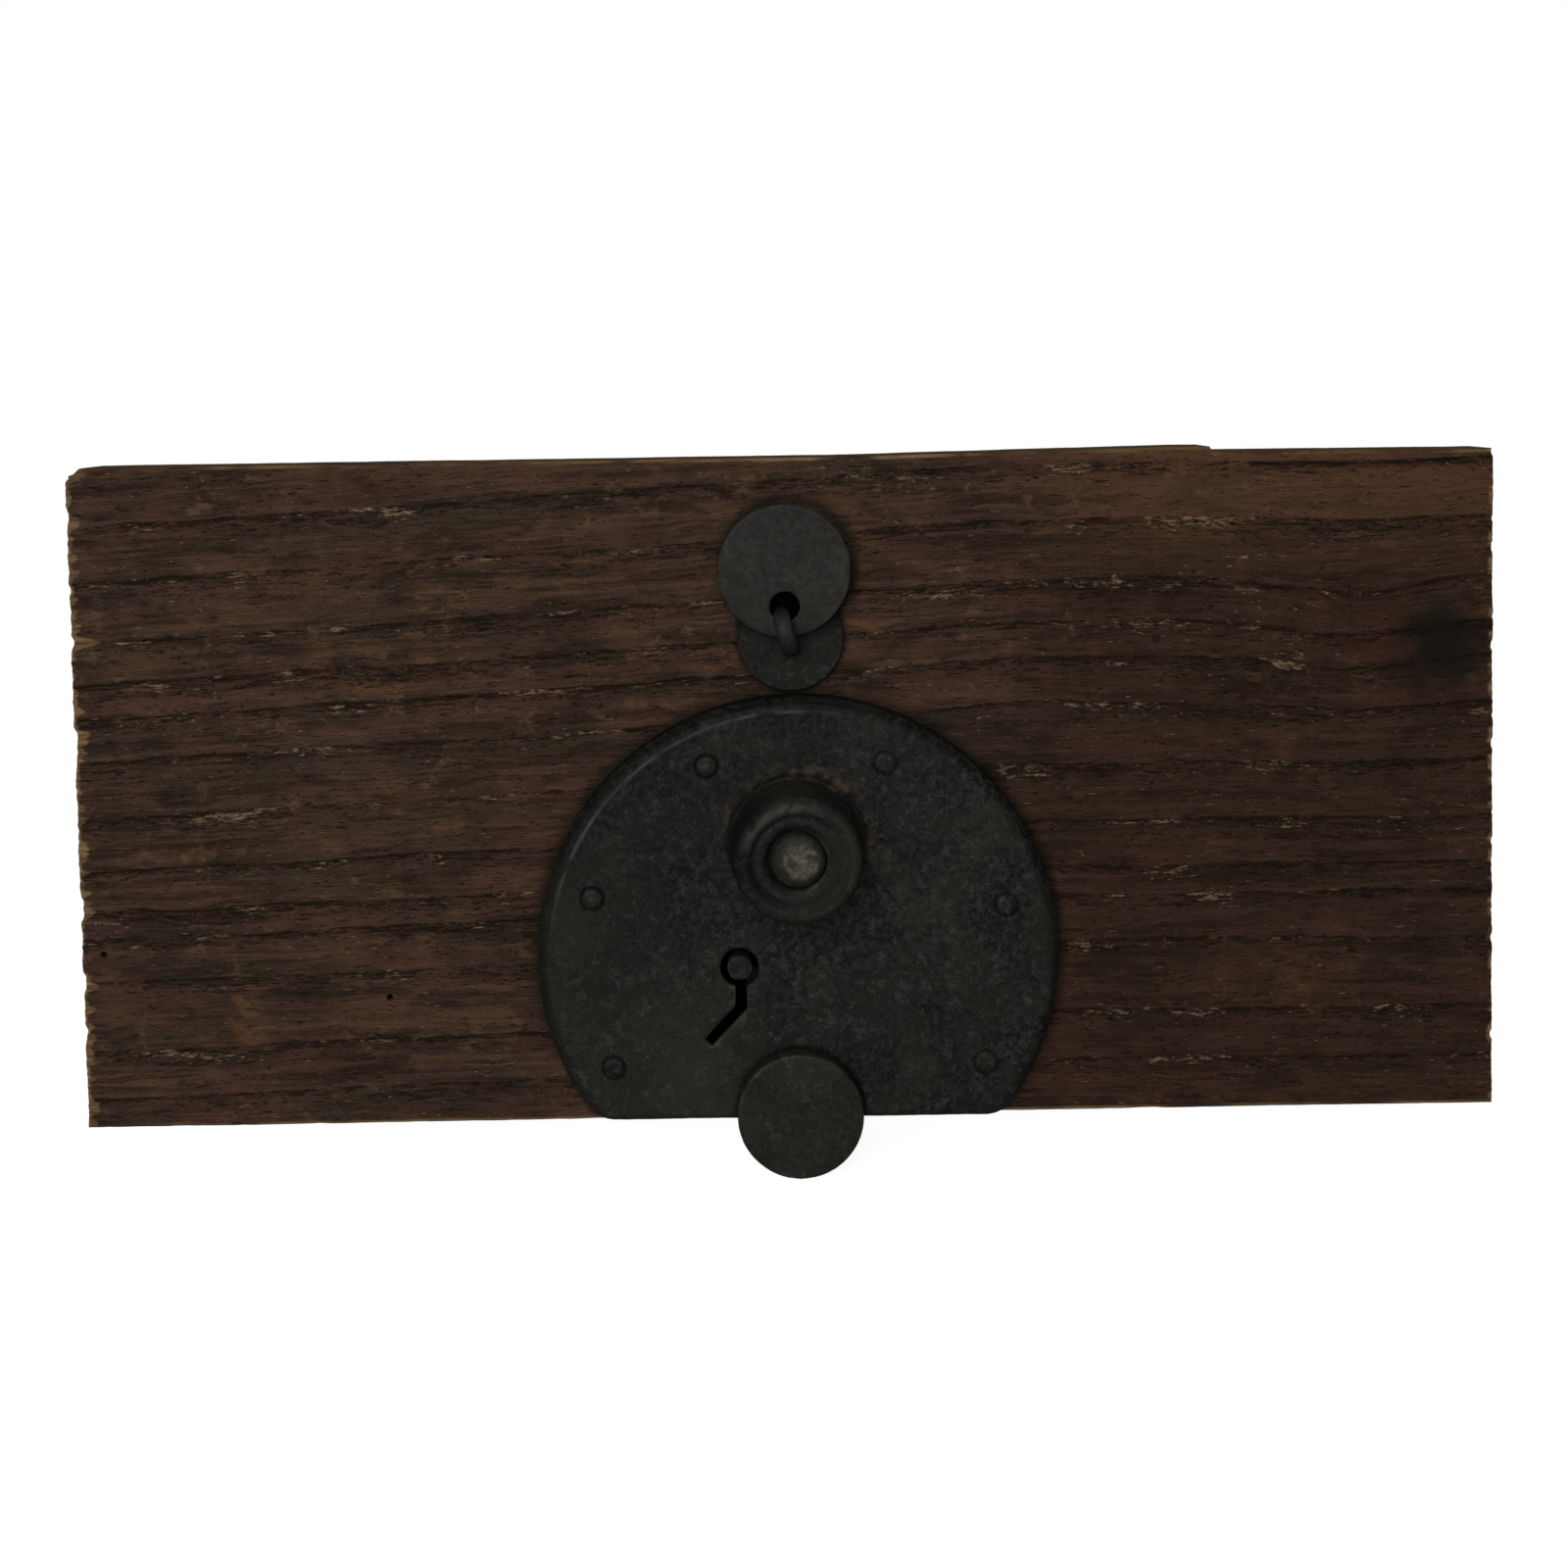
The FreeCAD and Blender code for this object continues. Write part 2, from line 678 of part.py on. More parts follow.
wedge_pin = doc.addObject("Part::Cylinder", "cross_pin")
bind(wedge_pin, "Radius", pin_radius)
bind(wedge_pin, "Height", wedge_width)
wedge_pin.Placement.Rotation = FreeCAD.Rotation(FreeCAD.Vector(0, 1, 0), 90)
place(wedge_pin, wedge_width * -0.5, -wedge_middle, boss_height)
finish(wedge_pin, "wedge_pin")

# ---------------------------------------------------------------- bolt with its ramp

ramp_rivet_z = ramp_low + ramp_rivet_rise
bolt = new_body("bar")
bolt_outline = new_sketch(bolt, offset=bolt_back)
draw_polygon(bolt_outline, [
    (-bolt_half_width + bolt_chamfer, bolt_tip),
    (bolt_half_width - bolt_chamfer, bolt_tip),
    (bolt_half_width, bolt_tip + bolt_chamfer),
    (bolt_half_width, lug_low),
    (bolt_half_width + lug_reach, lug_low),
    (bolt_half_width + lug_reach, lug_low + lug_size),
    (bolt_half_width, lug_low + lug_size),
    (bolt_half_width, bolt_top),
    (-bolt_half_width, bolt_top),
    (-bolt_half_width, notch_high),
    (-bolt_half_width + notch_depth, notch_high),
    (-bolt_half_width + notch_depth, notch_low),
    (-bolt_half_width, notch_low),
    (-bolt_half_width, bolt_tip + bolt_chamfer),
])
pad(bolt, bolt_outline, bolt_thick)
bolt_holes = new_sketch(bolt, offset=bolt_front)
for side in (1, -1):
    draw_circle(bolt_holes, ramp_rivet_spread * side, ramp_rivet_z, rivet_radius)
pocket(bolt, bolt_holes, bolt_thick + 1)
finish(bolt, "bolt")

ramp_start = wedge_low - wedge_gap + (wedge_front - ramp_front) * wedge_slope
ramp = new_body("ramp")
ramp_side = new_sketch(ramp, "YZ_Plane")
draw_polygon(ramp_side, [
    (-ramp_front, ramp_low),
    (-bolt_front, ramp_low),
    (-bolt_front, ramp_start + (ramp_front - bolt_front) * wedge_slope),
    (-ramp_front, ramp_start),
])
pad(ramp, ramp_side, wedge_width, middle=True)
ramp_holes = new_sketch(ramp, offset=ramp_front)
for side in (1, -1):
    draw_circle(ramp_holes, ramp_rivet_spread * side, ramp_rivet_z, rivet_radius)
pocket(ramp, ramp_holes, ramp_front - bolt_front + 1)
finish(ramp, "bolt_ramp")
finish(group("ramp_rivet_set", [
    rod("ramp_rivet", rivet_radius, ramp_rivet_spread * side, ramp_rivet_z, bolt_back, ramp_front)
    for side in (1, -1)
]), "ramp_rivets")

# ---------------------------------------------------------------- guides, spring seat and their rivets

rivet_depth = back_thick + guide_rivet_reach


def rivet_bores(name, places):
    return [rod(name, rivet_radius, x, z, 0, rivet_depth) for x, z in places]


all_rivets = list(guide_rivet_places())


def guide(name, z, rivets):
    """A keeper that the bolt slides through, riveted to the back plate."""
    low, high = z - guide_height / 2, z + guide_height / 2
    half = bolt_half_width + running_gap
    outer = block(f"{name}_outer", -guide_half_width, guide_half_width, back_thick, guide_front, low, high)
    way = block(f"{name}_way", -half, half, bolt_back - running_gap, bolt_front + running_gap, low - 1,
                high + 1)
    return cut(name, outer, [way] + rivet_bores(f"{name}_bore", rivets))


finish(guide("upper_guide", -guide_upper, all_rivets[0:2]), "bolt_guide_upper")
finish(guide("lower_guide", -guide_lower, all_rivets[2:4]), "bolt_guide_lower")
seat_block = block("seat_block", seat_left, seat_right, back_thick, bolt_front, -seat_low,
                   -seat_low + seat_thick)
finish(cut("seat_body", seat_block, rivet_bores("seat_bore", all_rivets[4:6])), "spring_seat")
finish(group("guide_rivet_set", [
    rod("guide_rivet", rivet_radius, x, z, 0, rivet_depth) for x, z in all_rivets
]), "guide_rivets")

# ---------------------------------------------------------------- back plate, key post and pins

back = new_body("back")
back_outline = new_sketch(back)
draw_polygon(back_outline, [
    (back_left, back_low), (back_right, back_low), (back_right, back_high), (back_left, back_high),
])
pad(back, back_outline, back_thick)
back_holes = new_sketch(back, offset=back_thick)
for rivet_x, rivet_z in all_rivets:
    draw_circle(back_holes, rivet_x, rivet_z, rivet_radius)
draw_circle(back_holes, key_x, key_z, key_tenon)
for pin_x, pin_z in ((lever_x, lever_height), (anchor_x, anchor_height)):
    draw_circle(back_holes, pin_x, pin_z, pivot_radius)
for nail_x, nail_z in back_nail_places():
    draw_circle(back_holes, nail_x, nail_z, pin_radius)
pocket(back, back_holes, back_thick + 1)
head_seats = new_sketch(back, offset=back_thick / 2)
for nail_x, nail_z in back_nail_places():
    draw_circle(head_seats, nail_x, nail_z, back_nail_head)
pocket(back, head_seats, back_thick)
finish(back, "back_plate")

finish(group("back_nail_set", [
    fuse("back_nail", [
        rod("back_nail_head_disc", back_nail_head, x, z, 0, back_thick / 2),
        rod("back_nail_shank", pin_radius, x, z, 0, back_nail_length),
    ])
    for x, z in back_nail_places()
]), "back_plate_nails")
finish(fuse("key_post_body", [
    rod("key_post_tenon", key_tenon, key_x, key_z, 0, back_thick + 1),
    rod("key_post_shaft", key_post, key_x, key_z, back_thick, case_front),
]), "key_post")
finish(rod("lever_pin", pivot_radius, lever_x, lever_height, 0, pivot_front), "detent_pivot")
finish(rod("anchor_pin", pivot_radius, anchor_x, anchor_height, 0, pivot_front), "spring_anchor")


def ward(name, radius, start, sweep, back_depth, front_depth):
    """Part of a ring about the key post; it turns away a key with the wrong cuts."""
    parts = []
    for kind, size in (("outer", radius + ward_thick / 2), ("inner", radius - ward_thick / 2)):
        part = rod(f"{name}_{kind}", size, key_x, key_z, back_depth, front_depth)
        parts.append(part)
    bind(parts[0], "Angle", sweep)
    start_turn = FreeCAD.Rotation(FreeCAD.Vector(0, -1, 0), start.value)
    parts[0].Placement.Rotation = start_turn.multiply(parts[0].Placement.Rotation)
    return cut(name, parts[0], parts[1:])


finish(group("ward_set", [
    ward("front_ward", ward_front_radius, ward_front_start, ward_front_sweep, sheet_back - ward_depth,
         sheet_back),
    ward("back_ward", ward_back_radius, ward_back_start, ward_back_sweep, back_thick,
         back_thick + ward_depth),
]), "ward_rings")

# ---------------------------------------------------------------- detent lever and the two leaf springs

tooth_x = -bolt_half_width - tooth_gap
lever_low = lever_height - lever_drop
tail_x = lever_x - lever_tail_left
lever = new_body("lever")
lever_outline = new_sketch(lever, offset=lever_back)
draw_polygon(lever_outline, [
    (lever_x - lever_boss, lever_height + lever_boss * 0.5),
    (lever_x - lever_boss * 0.5, lever_height + lever_boss),
    (lever_x + lever_boss * 0.5, lever_height + lever_boss),
    (lever_x + lever_boss, lever_height + lever_boss * 0.5),
    (lever_x + lever_boss, lever_low + lever_tooth * 2),
    (tooth_x, lever_low + lever_tooth),
    (tooth_x, lever_low),
    (lever_x, lever_low),
    (lever_x - lever_boss / 5, lever_height - lever_boss * 2),
    (tail_x + lever_tail_width, lever_low),
    (tail_x, lever_low + lever_tail_rise),
])
pad(lever, lever_outline, lever_thick)
lever_bore = new_sketch(lever, offset=lever_back + lever_thick)
draw_circle(lever_bore, lever_x, lever_height, pivot_radius + running_gap)
pocket(lever, lever_bore, lever_thick + 1)
finish(lever, "detent_lever")

seat_top = -seat_low + seat_thick
leaf_base = seat_top + static_gap
leaf_tip = lug_low - static_gap * 2
bolt_spring = new_body("bolt_leaf")
bolt_spring_side = new_sketch(bolt_spring, offset=bolt_back)
lug_edge = bolt_half_width + lug_reach
draw_polygon(bolt_spring_side, [
    (seat_left + leaf_thick / 2, leaf_base),
    (seat_right - leaf_bend, leaf_base),
    (seat_right, leaf_base + leaf_bend),
    (lug_edge - leaf_bend, leaf_tip),
    (bolt_half_width + leaf_bend, leaf_tip),
    (bolt_half_width + leaf_bend, leaf_tip - leaf_thick),
    (lug_edge - leaf_bend - leaf_thick / 2, leaf_tip - leaf_thick),
    (seat_right - leaf_thick * 1.5, leaf_base + leaf_bend),
    (seat_right - leaf_bend - leaf_thick / 2, leaf_base + leaf_thick),
    (seat_left + leaf_thick / 2, leaf_base + leaf_thick),
])
pad(bolt_spring, bolt_spring_side, leaf_width)
finish(bolt_spring, "bolt_return_spring")

detent_spring = new_body("detent_leaf")
detent_spring_side = new_sketch(detent_spring, offset=lever_back + 1)
hook = pivot_radius + static_gap
draw_polygon(detent_spring_side, [
    (anchor_x + hook, anchor_height + hook + leaf_thick),
    (anchor_x - hook, anchor_height + hook + leaf_thick),
    (anchor_x - hook - leaf_thick, anchor_height + hook),
    (anchor_x - hook - leaf_thick, anchor_height - hook),
    (anchor_x, anchor_height - hook - leaf_thick - leaf_bend),
    (tail_x - leaf_rest_gap * 2, lever_low + leaf_rest_height),
    (tail_x - leaf_rest_gap, lever_low + leaf_rest_height),
    (anchor_x + leaf_rest_gap, anchor_height - hook - leaf_thick - leaf_bend / 2),
    (anchor_x - hook, anchor_height - hook),
    (anchor_x - hook, anchor_height + hook),
    (anchor_x + hook, anchor_height + hook),
])
pad(detent_spring, detent_spring_side, leaf_width)
finish(detent_spring, "detent_spring")

# ---------------------------------------------------------------- guard disc over the bolt's exit


def disc_body(name, x, z, radius, back_depth, thick, holes_at):
    """A flat round plate with holes, each given as x, z and radius."""
    body = new_body(name)
    rim = new_sketch(body, offset=back_depth)
    draw_circle(rim, x, z, radius)
    pad(body, rim, thick)
    bores = new_sketch(body, offset=back_depth + thick)
    for hole_x, hole_z, hole_radius in holes_at:
        draw_circle(bores, hole_x, hole_z, hole_radius)
    pocket(body, bores, thick + 1)
    return body


guard_front = case_front + guard_thick
guard = new_body("guard")
guard_rim = new_sketch(guard, offset=case_front)
draw_circle(guard_rim, 0, guard_z, guard_radius)
pad(guard, guard_rim, guard_thick)
dress(guard, "Fillet", lambda e: at_depth(e, guard_front), "Radius", guard_edge)
guard_bores = new_sketch(guard, offset=case_front)
for side in (1, -1):
    draw_circle(guard_bores, guard_rivet_spread * side, guard_rivet_z, rivet_radius)
pocket(guard, guard_bores, guard_thick / 2, forward=True)
finish(guard, "guard_disc")
finish(group("guard_rivet_set", [
    fuse("guard_rivet", [
        rod("guard_rivet_shank", rivet_radius, guard_rivet_spread * side, guard_rivet_z, sheet_back,
            case_front + guard_thick / 2),
        rod("guard_rivet_head", guard_rivet_head, guard_rivet_spread * side, guard_rivet_z,
            sheet_back - 1, sheet_back),
    ])
    for side in (1, -1)
]), "guard_disc_rivets")

# ---------------------------------------------------------------- disc pull

leg_x = eye_radius * sine(eye_skew)
leg_z = eye_radius * cosine(eye_skew)
finish(disc_body(
    "pull_rose", -pull_plate_left, pull_plate_height, pull_plate_radius, board_thick, pull_plate_thick,
    [(eye_x - leg_x * side, eye_height + leg_z * side, eye_wire + static_gap) for side in (1, -1)],
), "pull_backplate")
finish(disc_body(
    "hand_disc", disc_x, disc_z, disc_radius, eye_front - disc_thick / 2, disc_thick,
    [(disc_x, disc_z - disc_hole_offset, disc_hole)],
), "pull_disc")

# ---------------------------------------------------------------- check everything, then write the pieces

doc.recompute()
for thing in doc.Objects:
    if {"Invalid", "Error"} & set(thing.State):
        raise RuntimeError(f"{thing.Name} ({thing.Label}) failed: {thing.State}")
for thing in finished:
    if thing.Shape.isNull() or not thing.Shape.isValid() or not thing.Shape.Solids:
        raise RuntimeError(f"{thing.Label} has no valid solid")
os.makedirs("parts", exist_ok=True)
for thing in finished:
    thing.Shape.exportStep(os.path.join("parts", f"{thing.Label}.step"))
    print(f"{thing.Label}: {len(thing.Shape.Solids)} solid(s), {thing.Shape.Volume:.1f} mm3")
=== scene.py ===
"""Looks of an old wooden drawer front with its round iron push-button lock and disc pull.

Everything is in metres in the CAD frame: +Z up, +X right, and the front of the board looks along -Y.
Visible pieces, the bolt and the springs are built here as dense meshes with real relief. The other works
inside the board, and the rivets, stay as CAD nodes.
"""

import itertools
import json
import math

import bpy
import numpy as np
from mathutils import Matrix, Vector


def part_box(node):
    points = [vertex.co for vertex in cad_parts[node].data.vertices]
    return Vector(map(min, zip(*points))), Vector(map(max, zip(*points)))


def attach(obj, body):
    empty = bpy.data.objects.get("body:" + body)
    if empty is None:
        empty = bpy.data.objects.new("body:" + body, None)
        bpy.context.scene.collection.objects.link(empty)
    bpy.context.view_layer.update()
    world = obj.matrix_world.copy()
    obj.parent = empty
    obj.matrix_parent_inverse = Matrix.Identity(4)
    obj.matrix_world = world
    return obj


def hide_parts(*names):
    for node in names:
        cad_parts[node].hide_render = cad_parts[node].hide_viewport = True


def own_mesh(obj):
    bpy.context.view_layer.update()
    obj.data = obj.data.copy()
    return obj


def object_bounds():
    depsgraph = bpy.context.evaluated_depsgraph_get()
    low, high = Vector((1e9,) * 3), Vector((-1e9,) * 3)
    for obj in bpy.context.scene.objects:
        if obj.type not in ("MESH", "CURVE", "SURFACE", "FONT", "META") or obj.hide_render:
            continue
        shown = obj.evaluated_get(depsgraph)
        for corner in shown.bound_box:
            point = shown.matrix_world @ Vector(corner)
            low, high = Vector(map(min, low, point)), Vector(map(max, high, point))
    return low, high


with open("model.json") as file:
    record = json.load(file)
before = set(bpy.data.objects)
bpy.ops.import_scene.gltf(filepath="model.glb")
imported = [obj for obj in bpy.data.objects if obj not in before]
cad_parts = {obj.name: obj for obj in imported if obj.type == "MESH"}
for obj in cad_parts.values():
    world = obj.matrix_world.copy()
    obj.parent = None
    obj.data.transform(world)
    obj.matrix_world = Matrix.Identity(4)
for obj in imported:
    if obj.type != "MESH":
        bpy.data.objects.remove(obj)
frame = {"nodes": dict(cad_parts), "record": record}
cad_low, cad_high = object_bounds()

MM = 0.001


# ---- noise

TURN = np.array([[0.36, 0.48, -0.8], [-0.8, 0.6, 0.0], [0.48, 0.64, 0.6]])
HASH = (374761393, 668265263, 2147483647, 1274126177)


def lattice(cells, seed):
    """A repeatable number from 0 to 1 for each whole-numbered cell."""
    mixed = (cells * np.array(HASH[:3])).sum(axis=1) + seed * HASH[3]
    mixed = mixed & 0xFFFFFFFF
    mixed = ((mixed ^ (mixed >> 13)) * HASH[3]) & 0xFFFFFFFF
    return ((mixed ^ (mixed >> 16)) & 0xFFFFFF) / 0xFFFFFF


def noise(points, cell, seed):
    """Smooth noise from -1 to 1; cell is the size of its lumps in millimetres, one number or one per axis."""
    grid = points / (np.asarray(cell, float) * MM)
    base = np.floor(grid).astype(np.int64)
    part = grid - base
    part = part * part * (3 - 2 * part)
    total = np.zeros(len(points))
    for corner in itertools.product((0, 1), repeat=3):
        share = np.where(corner, part, 1 - part).prod(axis=1)
        total += share * lattice(base + np.array(corner), seed)
    return total * 2 - 1


def fractal(points, cell, seed, octaves=3):
    """Noise with finer and weaker noise on top."""
    total, weight, size = 0, 1, np.asarray(cell, float)
    for octave in range(octaves):
        total = total + weight * noise(points, size, seed + octave)
        weight, size = weight / 2, size / 2
    return total / (2 - 2.0 ** (1 - octaves))


def lumps(points, cell, seed, octaves=3):
    """The same noise turned off the axes, for metal with no grain direction."""
    return fractal(points @ TURN, cell, seed, octaves)


def step(value, low, high):
    """Rises smoothly from 0 at low to 1 at high."""
    t = np.clip((value - low) / (high - low), 0, 1)
    return t * t * (3 - 2 * t)


def bell(distance, width):
    """1 at no distance, falling away over a width in millimetres."""
    return np.exp(-((distance / (width * MM)) ** 2))


# ---- meshes


def new_object(name, mesh):
    thing = bpy.data.objects.new(name, mesh)
    bpy.context.scene.collection.objects.link(thing)
    return thing


def make_mesh(name, points, faces):
    mesh = bpy.data.meshes.new(name)
    mesh.from_pydata([tuple(p) for p in points], [], faces)
    mesh.validate()
    return new_object(name, mesh)


def points_of(mesh):
    flat = np.zeros(len(mesh.vertices) * 3, np.float32)
    mesh.vertices.foreach_get("co", flat)
    return flat.reshape(-1, 3).astype(float)


def set_points(mesh, points):
    mesh.vertices.foreach_set("co", points.astype(np.float32).ravel())
    mesh.update()


def normals_of(mesh):
    flat = np.zeros(len(mesh.vertices) * 3, np.float32)
    mesh.vertex_normals.foreach_get("vector", flat)
    return flat.reshape(-1, 3).astype(float)


def mask(mesh, name, values):
    """Stores one number per point for a material to read."""
    attribute = mesh.attributes.new(name, "FLOAT", "POINT")
    attribute.data.foreach_set("value", np.asarray(values, np.float32))


def bake_modifiers(thing):
    """Replaces the object's mesh by the result of its modifiers."""
    graph = bpy.context.evaluated_depsgraph_get()
    result = bpy.data.meshes.new_from_object(thing.evaluated_get(graph))
    thing.modifiers.clear()
    thing.data = result
    return result


def carve(thing, cutters):
    """Cuts each closed cutter out of a closed mesh."""
    before = len(thing.data.vertices)
    for cutter in cutters:
        modifier = thing.modifiers.new("carve", "BOOLEAN")
        modifier.operation = "DIFFERENCE"
        modifier.solver = "MANIFOLD"
        modifier.object = cutter
    after = len(bake_modifiers(thing).vertices)
    if after == before:
        raise RuntimeError(f"nothing was cut out of {thing.name}")
    for cutter in cutters:
        bpy.data.objects.remove(cutter)


def smooth_shading(mesh, crease=60):
    mesh.shade_smooth()
    mesh.set_sharp_from_angle(angle=math.radians(crease))


def turned(points, turn):
    """Points turned about the origin in the plane of the board."""
    c, s = math.cos(turn), math.sin(turn)
    return np.stack([points[:, 0] * c - points[:, 2] * s, points[:, 1],
                     points[:, 0] * s + points[:, 2] * c], axis=1)


def from_axis(points, centre):
    """How far each point is from an axis that runs from front to back."""
    return np.linalg.norm(points[:, [0, 2]] - centre, axis=1)


def bearing(points, centre):
    """Which way each point lies from such an axis, as an angle from the right."""
    return np.arctan2(points[:, 2] - centre[1], points[:, 0] - centre[0])


def box_cutter(low, high, turn=0.0):
    """A closed box, turned about its own middle in the plane of the board."""
    low, high = np.array(low), np.array(high)
    middle = (low + high) / 2
    corners = np.array(list(itertools.product((0, 1), repeat=3))) * (high - low) + low - middle
    faces = [(0, 1, 3, 2), (4, 6, 7, 5), (0, 4, 5, 1), (2, 3, 7, 6), (0, 2, 6, 4), (1, 5, 7, 3)]
    return make_mesh("cutter", turned(corners, turn) + middle, faces)


def rod_cutter(x, z, radius, back, front, sides=32):
    angles = np.arange(sides) * 2 * math.pi / sides
    ring = np.stack([x + radius * np.cos(angles), np.zeros(sides), z + radius * np.sin(angles)], axis=1)
    points = np.concatenate([ring + [0, back, 0], ring + [0, front, 0]])
    faces = [tuple(range(sides)), tuple(range(2 * sides - 1, sides - 1, -1))]
    faces += [(i, i + sides, (i + 1) % sides + sides, (i + 1) % sides) for i in range(sides)]
    return make_mesh("cutter", points, faces)


def lathe(name, profile, centres, sides):
    """Turned pieces of one profile on one or more centres; the profile lists radius and y."""
    closed = profile[0][0] > 1e-7
    angles = np.arange(sides) * 2 * math.pi / sides
    turns = [(math.cos(a), math.sin(a)) for a in angles]
    points, faces = [], []
    for centre in centres:
        rings = []
        for radius, y in profile:
            if radius < 1e-7:
                rings.append([len(points)] * sides)
                points.append((centre[0], y, centre[1]))
            else:
                rings.append(list(range(len(points), len(points) + sides)))
                points += [(centre[0] + radius * c, y, centre[1] + radius * s) for c, s in turns]
        pairs = list(zip(rings, rings[1:]))
        if closed:
            pairs.append((rings[-1], rings[0]))
        for first, second in pairs:
            for i in range(sides):
                j = (i + 1) % sides
                corners = [first[i], first[j], second[j], second[i]]
                faces.append(tuple(dict.fromkeys(corners)))
    return make_mesh(name, points, faces)


def refine(profile, spacing, rounds=0):
    """Fills a profile with points at an even spacing, after cutting its corners off a few times."""
    profile = np.array(profile, float)
    for _ in range(rounds):
        quarter = profile[:-1] * 0.75 + profile[1:] * 0.25
        three = profile[:-1] * 0.25 + profile[1:] * 0.75
        inner = np.stack([quarter, three], axis=1).reshape(-1, 2)
        profile = np.concatenate([profile[:1], inner[1:-1], profile[-1:]])
    filled = [profile[0]]
    for start, end in zip(profile, profile[1:]):
        count = max(1, math.ceil(np.linalg.norm(end - start) / spacing))
        filled += [start + (end - start) * (i + 1) / count for i in range(count)]
    return np.array(filled)


def neighbour_mean(mesh, values):
    """Mean of each point's neighbours along the edges."""
    edges = np.zeros(len(mesh.edges) * 2, np.int64)
    mesh.edges.foreach_get("vertices", edges)
    first, second = edges.reshape(-1, 2).T
    count = np.bincount(first, minlength=len(values)) + np.bincount(second, minlength=len(values))
    columns = []
    for column in np.atleast_2d(values.T):
        columns.append(np.bincount(first, column[second], len(values))
                       + np.bincount(second, column[first], len(values)))
    return (np.array(columns) / count).T.reshape(values.shape)


def convexity(mesh, points, spacing):
    """How far each point stands out from its neighbours: above 0 on outer edges, below 0 in corners."""
    out = ((points - neighbour_mean(mesh, points)) * normals_of(mesh)).sum(axis=1) / spacing
    for _ in range(2):
        out = (out + neighbour_mean(mesh, out)) / 2
    return out


def forge(thing, spacing, seed, hammer=0.10 * MM, scale=0.035 * MM, pits=0.12 * MM, still=None):
    """Gives a dense closed mesh the skin of old wrought iron, and marks its edges for wear and its hollows
    for painted shade.

    hammer is the depth of the broad planishing dents, scale that of the fine crust, pits that of the rust
    pits. still lists how much each point may move, from 0 to 1.
    """
    mesh = thing.data
    mesh.shade_smooth()
    points = points_of(mesh)
    edge = np.clip(convexity(mesh, points, spacing) * 6, -1, 1)
    rusted = step(lumps(points, 9, seed + 30), -0.2, 0.4)
    pitted = step(lumps(points, 1.3, seed + 20, 2), 0.45, 0.8) * rusted
    moved = hammer * lumps(points, 8, seed, 2) + scale * lumps(points, 0.9, seed + 10, 3)
    moved -= pits * pitted
    moved -= 0.12 * MM * np.clip(edge, 0, 1) * step(lumps(points, 5, seed + 40), -0.3, 0.5)
    if still is not None:
        moved = moved * still
    set_points(mesh, points + normals_of(mesh) * moved[:, None])
    mask(mesh, "edge", edge)
    mask(mesh, "pit", pitted)
    return thing


def remeshed(node, name, spacing):
    """A new even mesh of a CAD node's shape, with its sharp edges a little softened."""
    thing = new_object(name, frame["nodes"][node].data.copy())
    thing.data.materials.clear()
    modifier = thing.modifiers.new("even", "REMESH")
    modifier.mode = "VOXEL"
    modifier.voxel_size = spacing
    mesh = bake_modifiers(thing)
    points = points_of(mesh)
    for _ in range(2):
        points = (points + neighbour_mean(mesh, points)) / 2
    set_points(mesh, points)
    return thing


def forged(node, spacing, seed, **skin):
    """A CAD node's shape as a dense mesh with the skin of old iron."""
    return forge(remeshed(node, node + "_iron", spacing), spacing, seed, **skin)


def corners_of(node):
    """The low and the high corner of one CAD node's box."""
    return tuple(np.array(corner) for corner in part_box(node))


def separate_centres(node, apart):
    """Centres, seen from the front, of the separate solids in one CAD node."""
    spots = points_of(frame["nodes"][node].data)[:, [0, 2]]
    centres = []
    while len(spots):
        near = np.linalg.norm(spots - spots[0], axis=1) < apart
        centres.append((spots[near].min(axis=0) + spots[near].max(axis=0)) / 2)
        spots = spots[~near]
    return centres


def place_piece(thing, body, slot, material, *nodes):
    """Gives a finished piece its material, the body it moves with and the CAD nodes it stands for."""
    thing.data.materials.clear()
    thing.data.materials.append(material)
    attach(thing, body)
    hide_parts(*nodes)


# ---- materials


def tint(red, green, blue):
    """Linear colour from everyday 0 to 255 values."""
    shares = [value / 255 for value in (red, green, blue)]
    linear = [((share + 0.055) / 1.055) ** 2.4 if share > 0.04 else share / 12.92 for share in shares]
    return (*linear, 1)


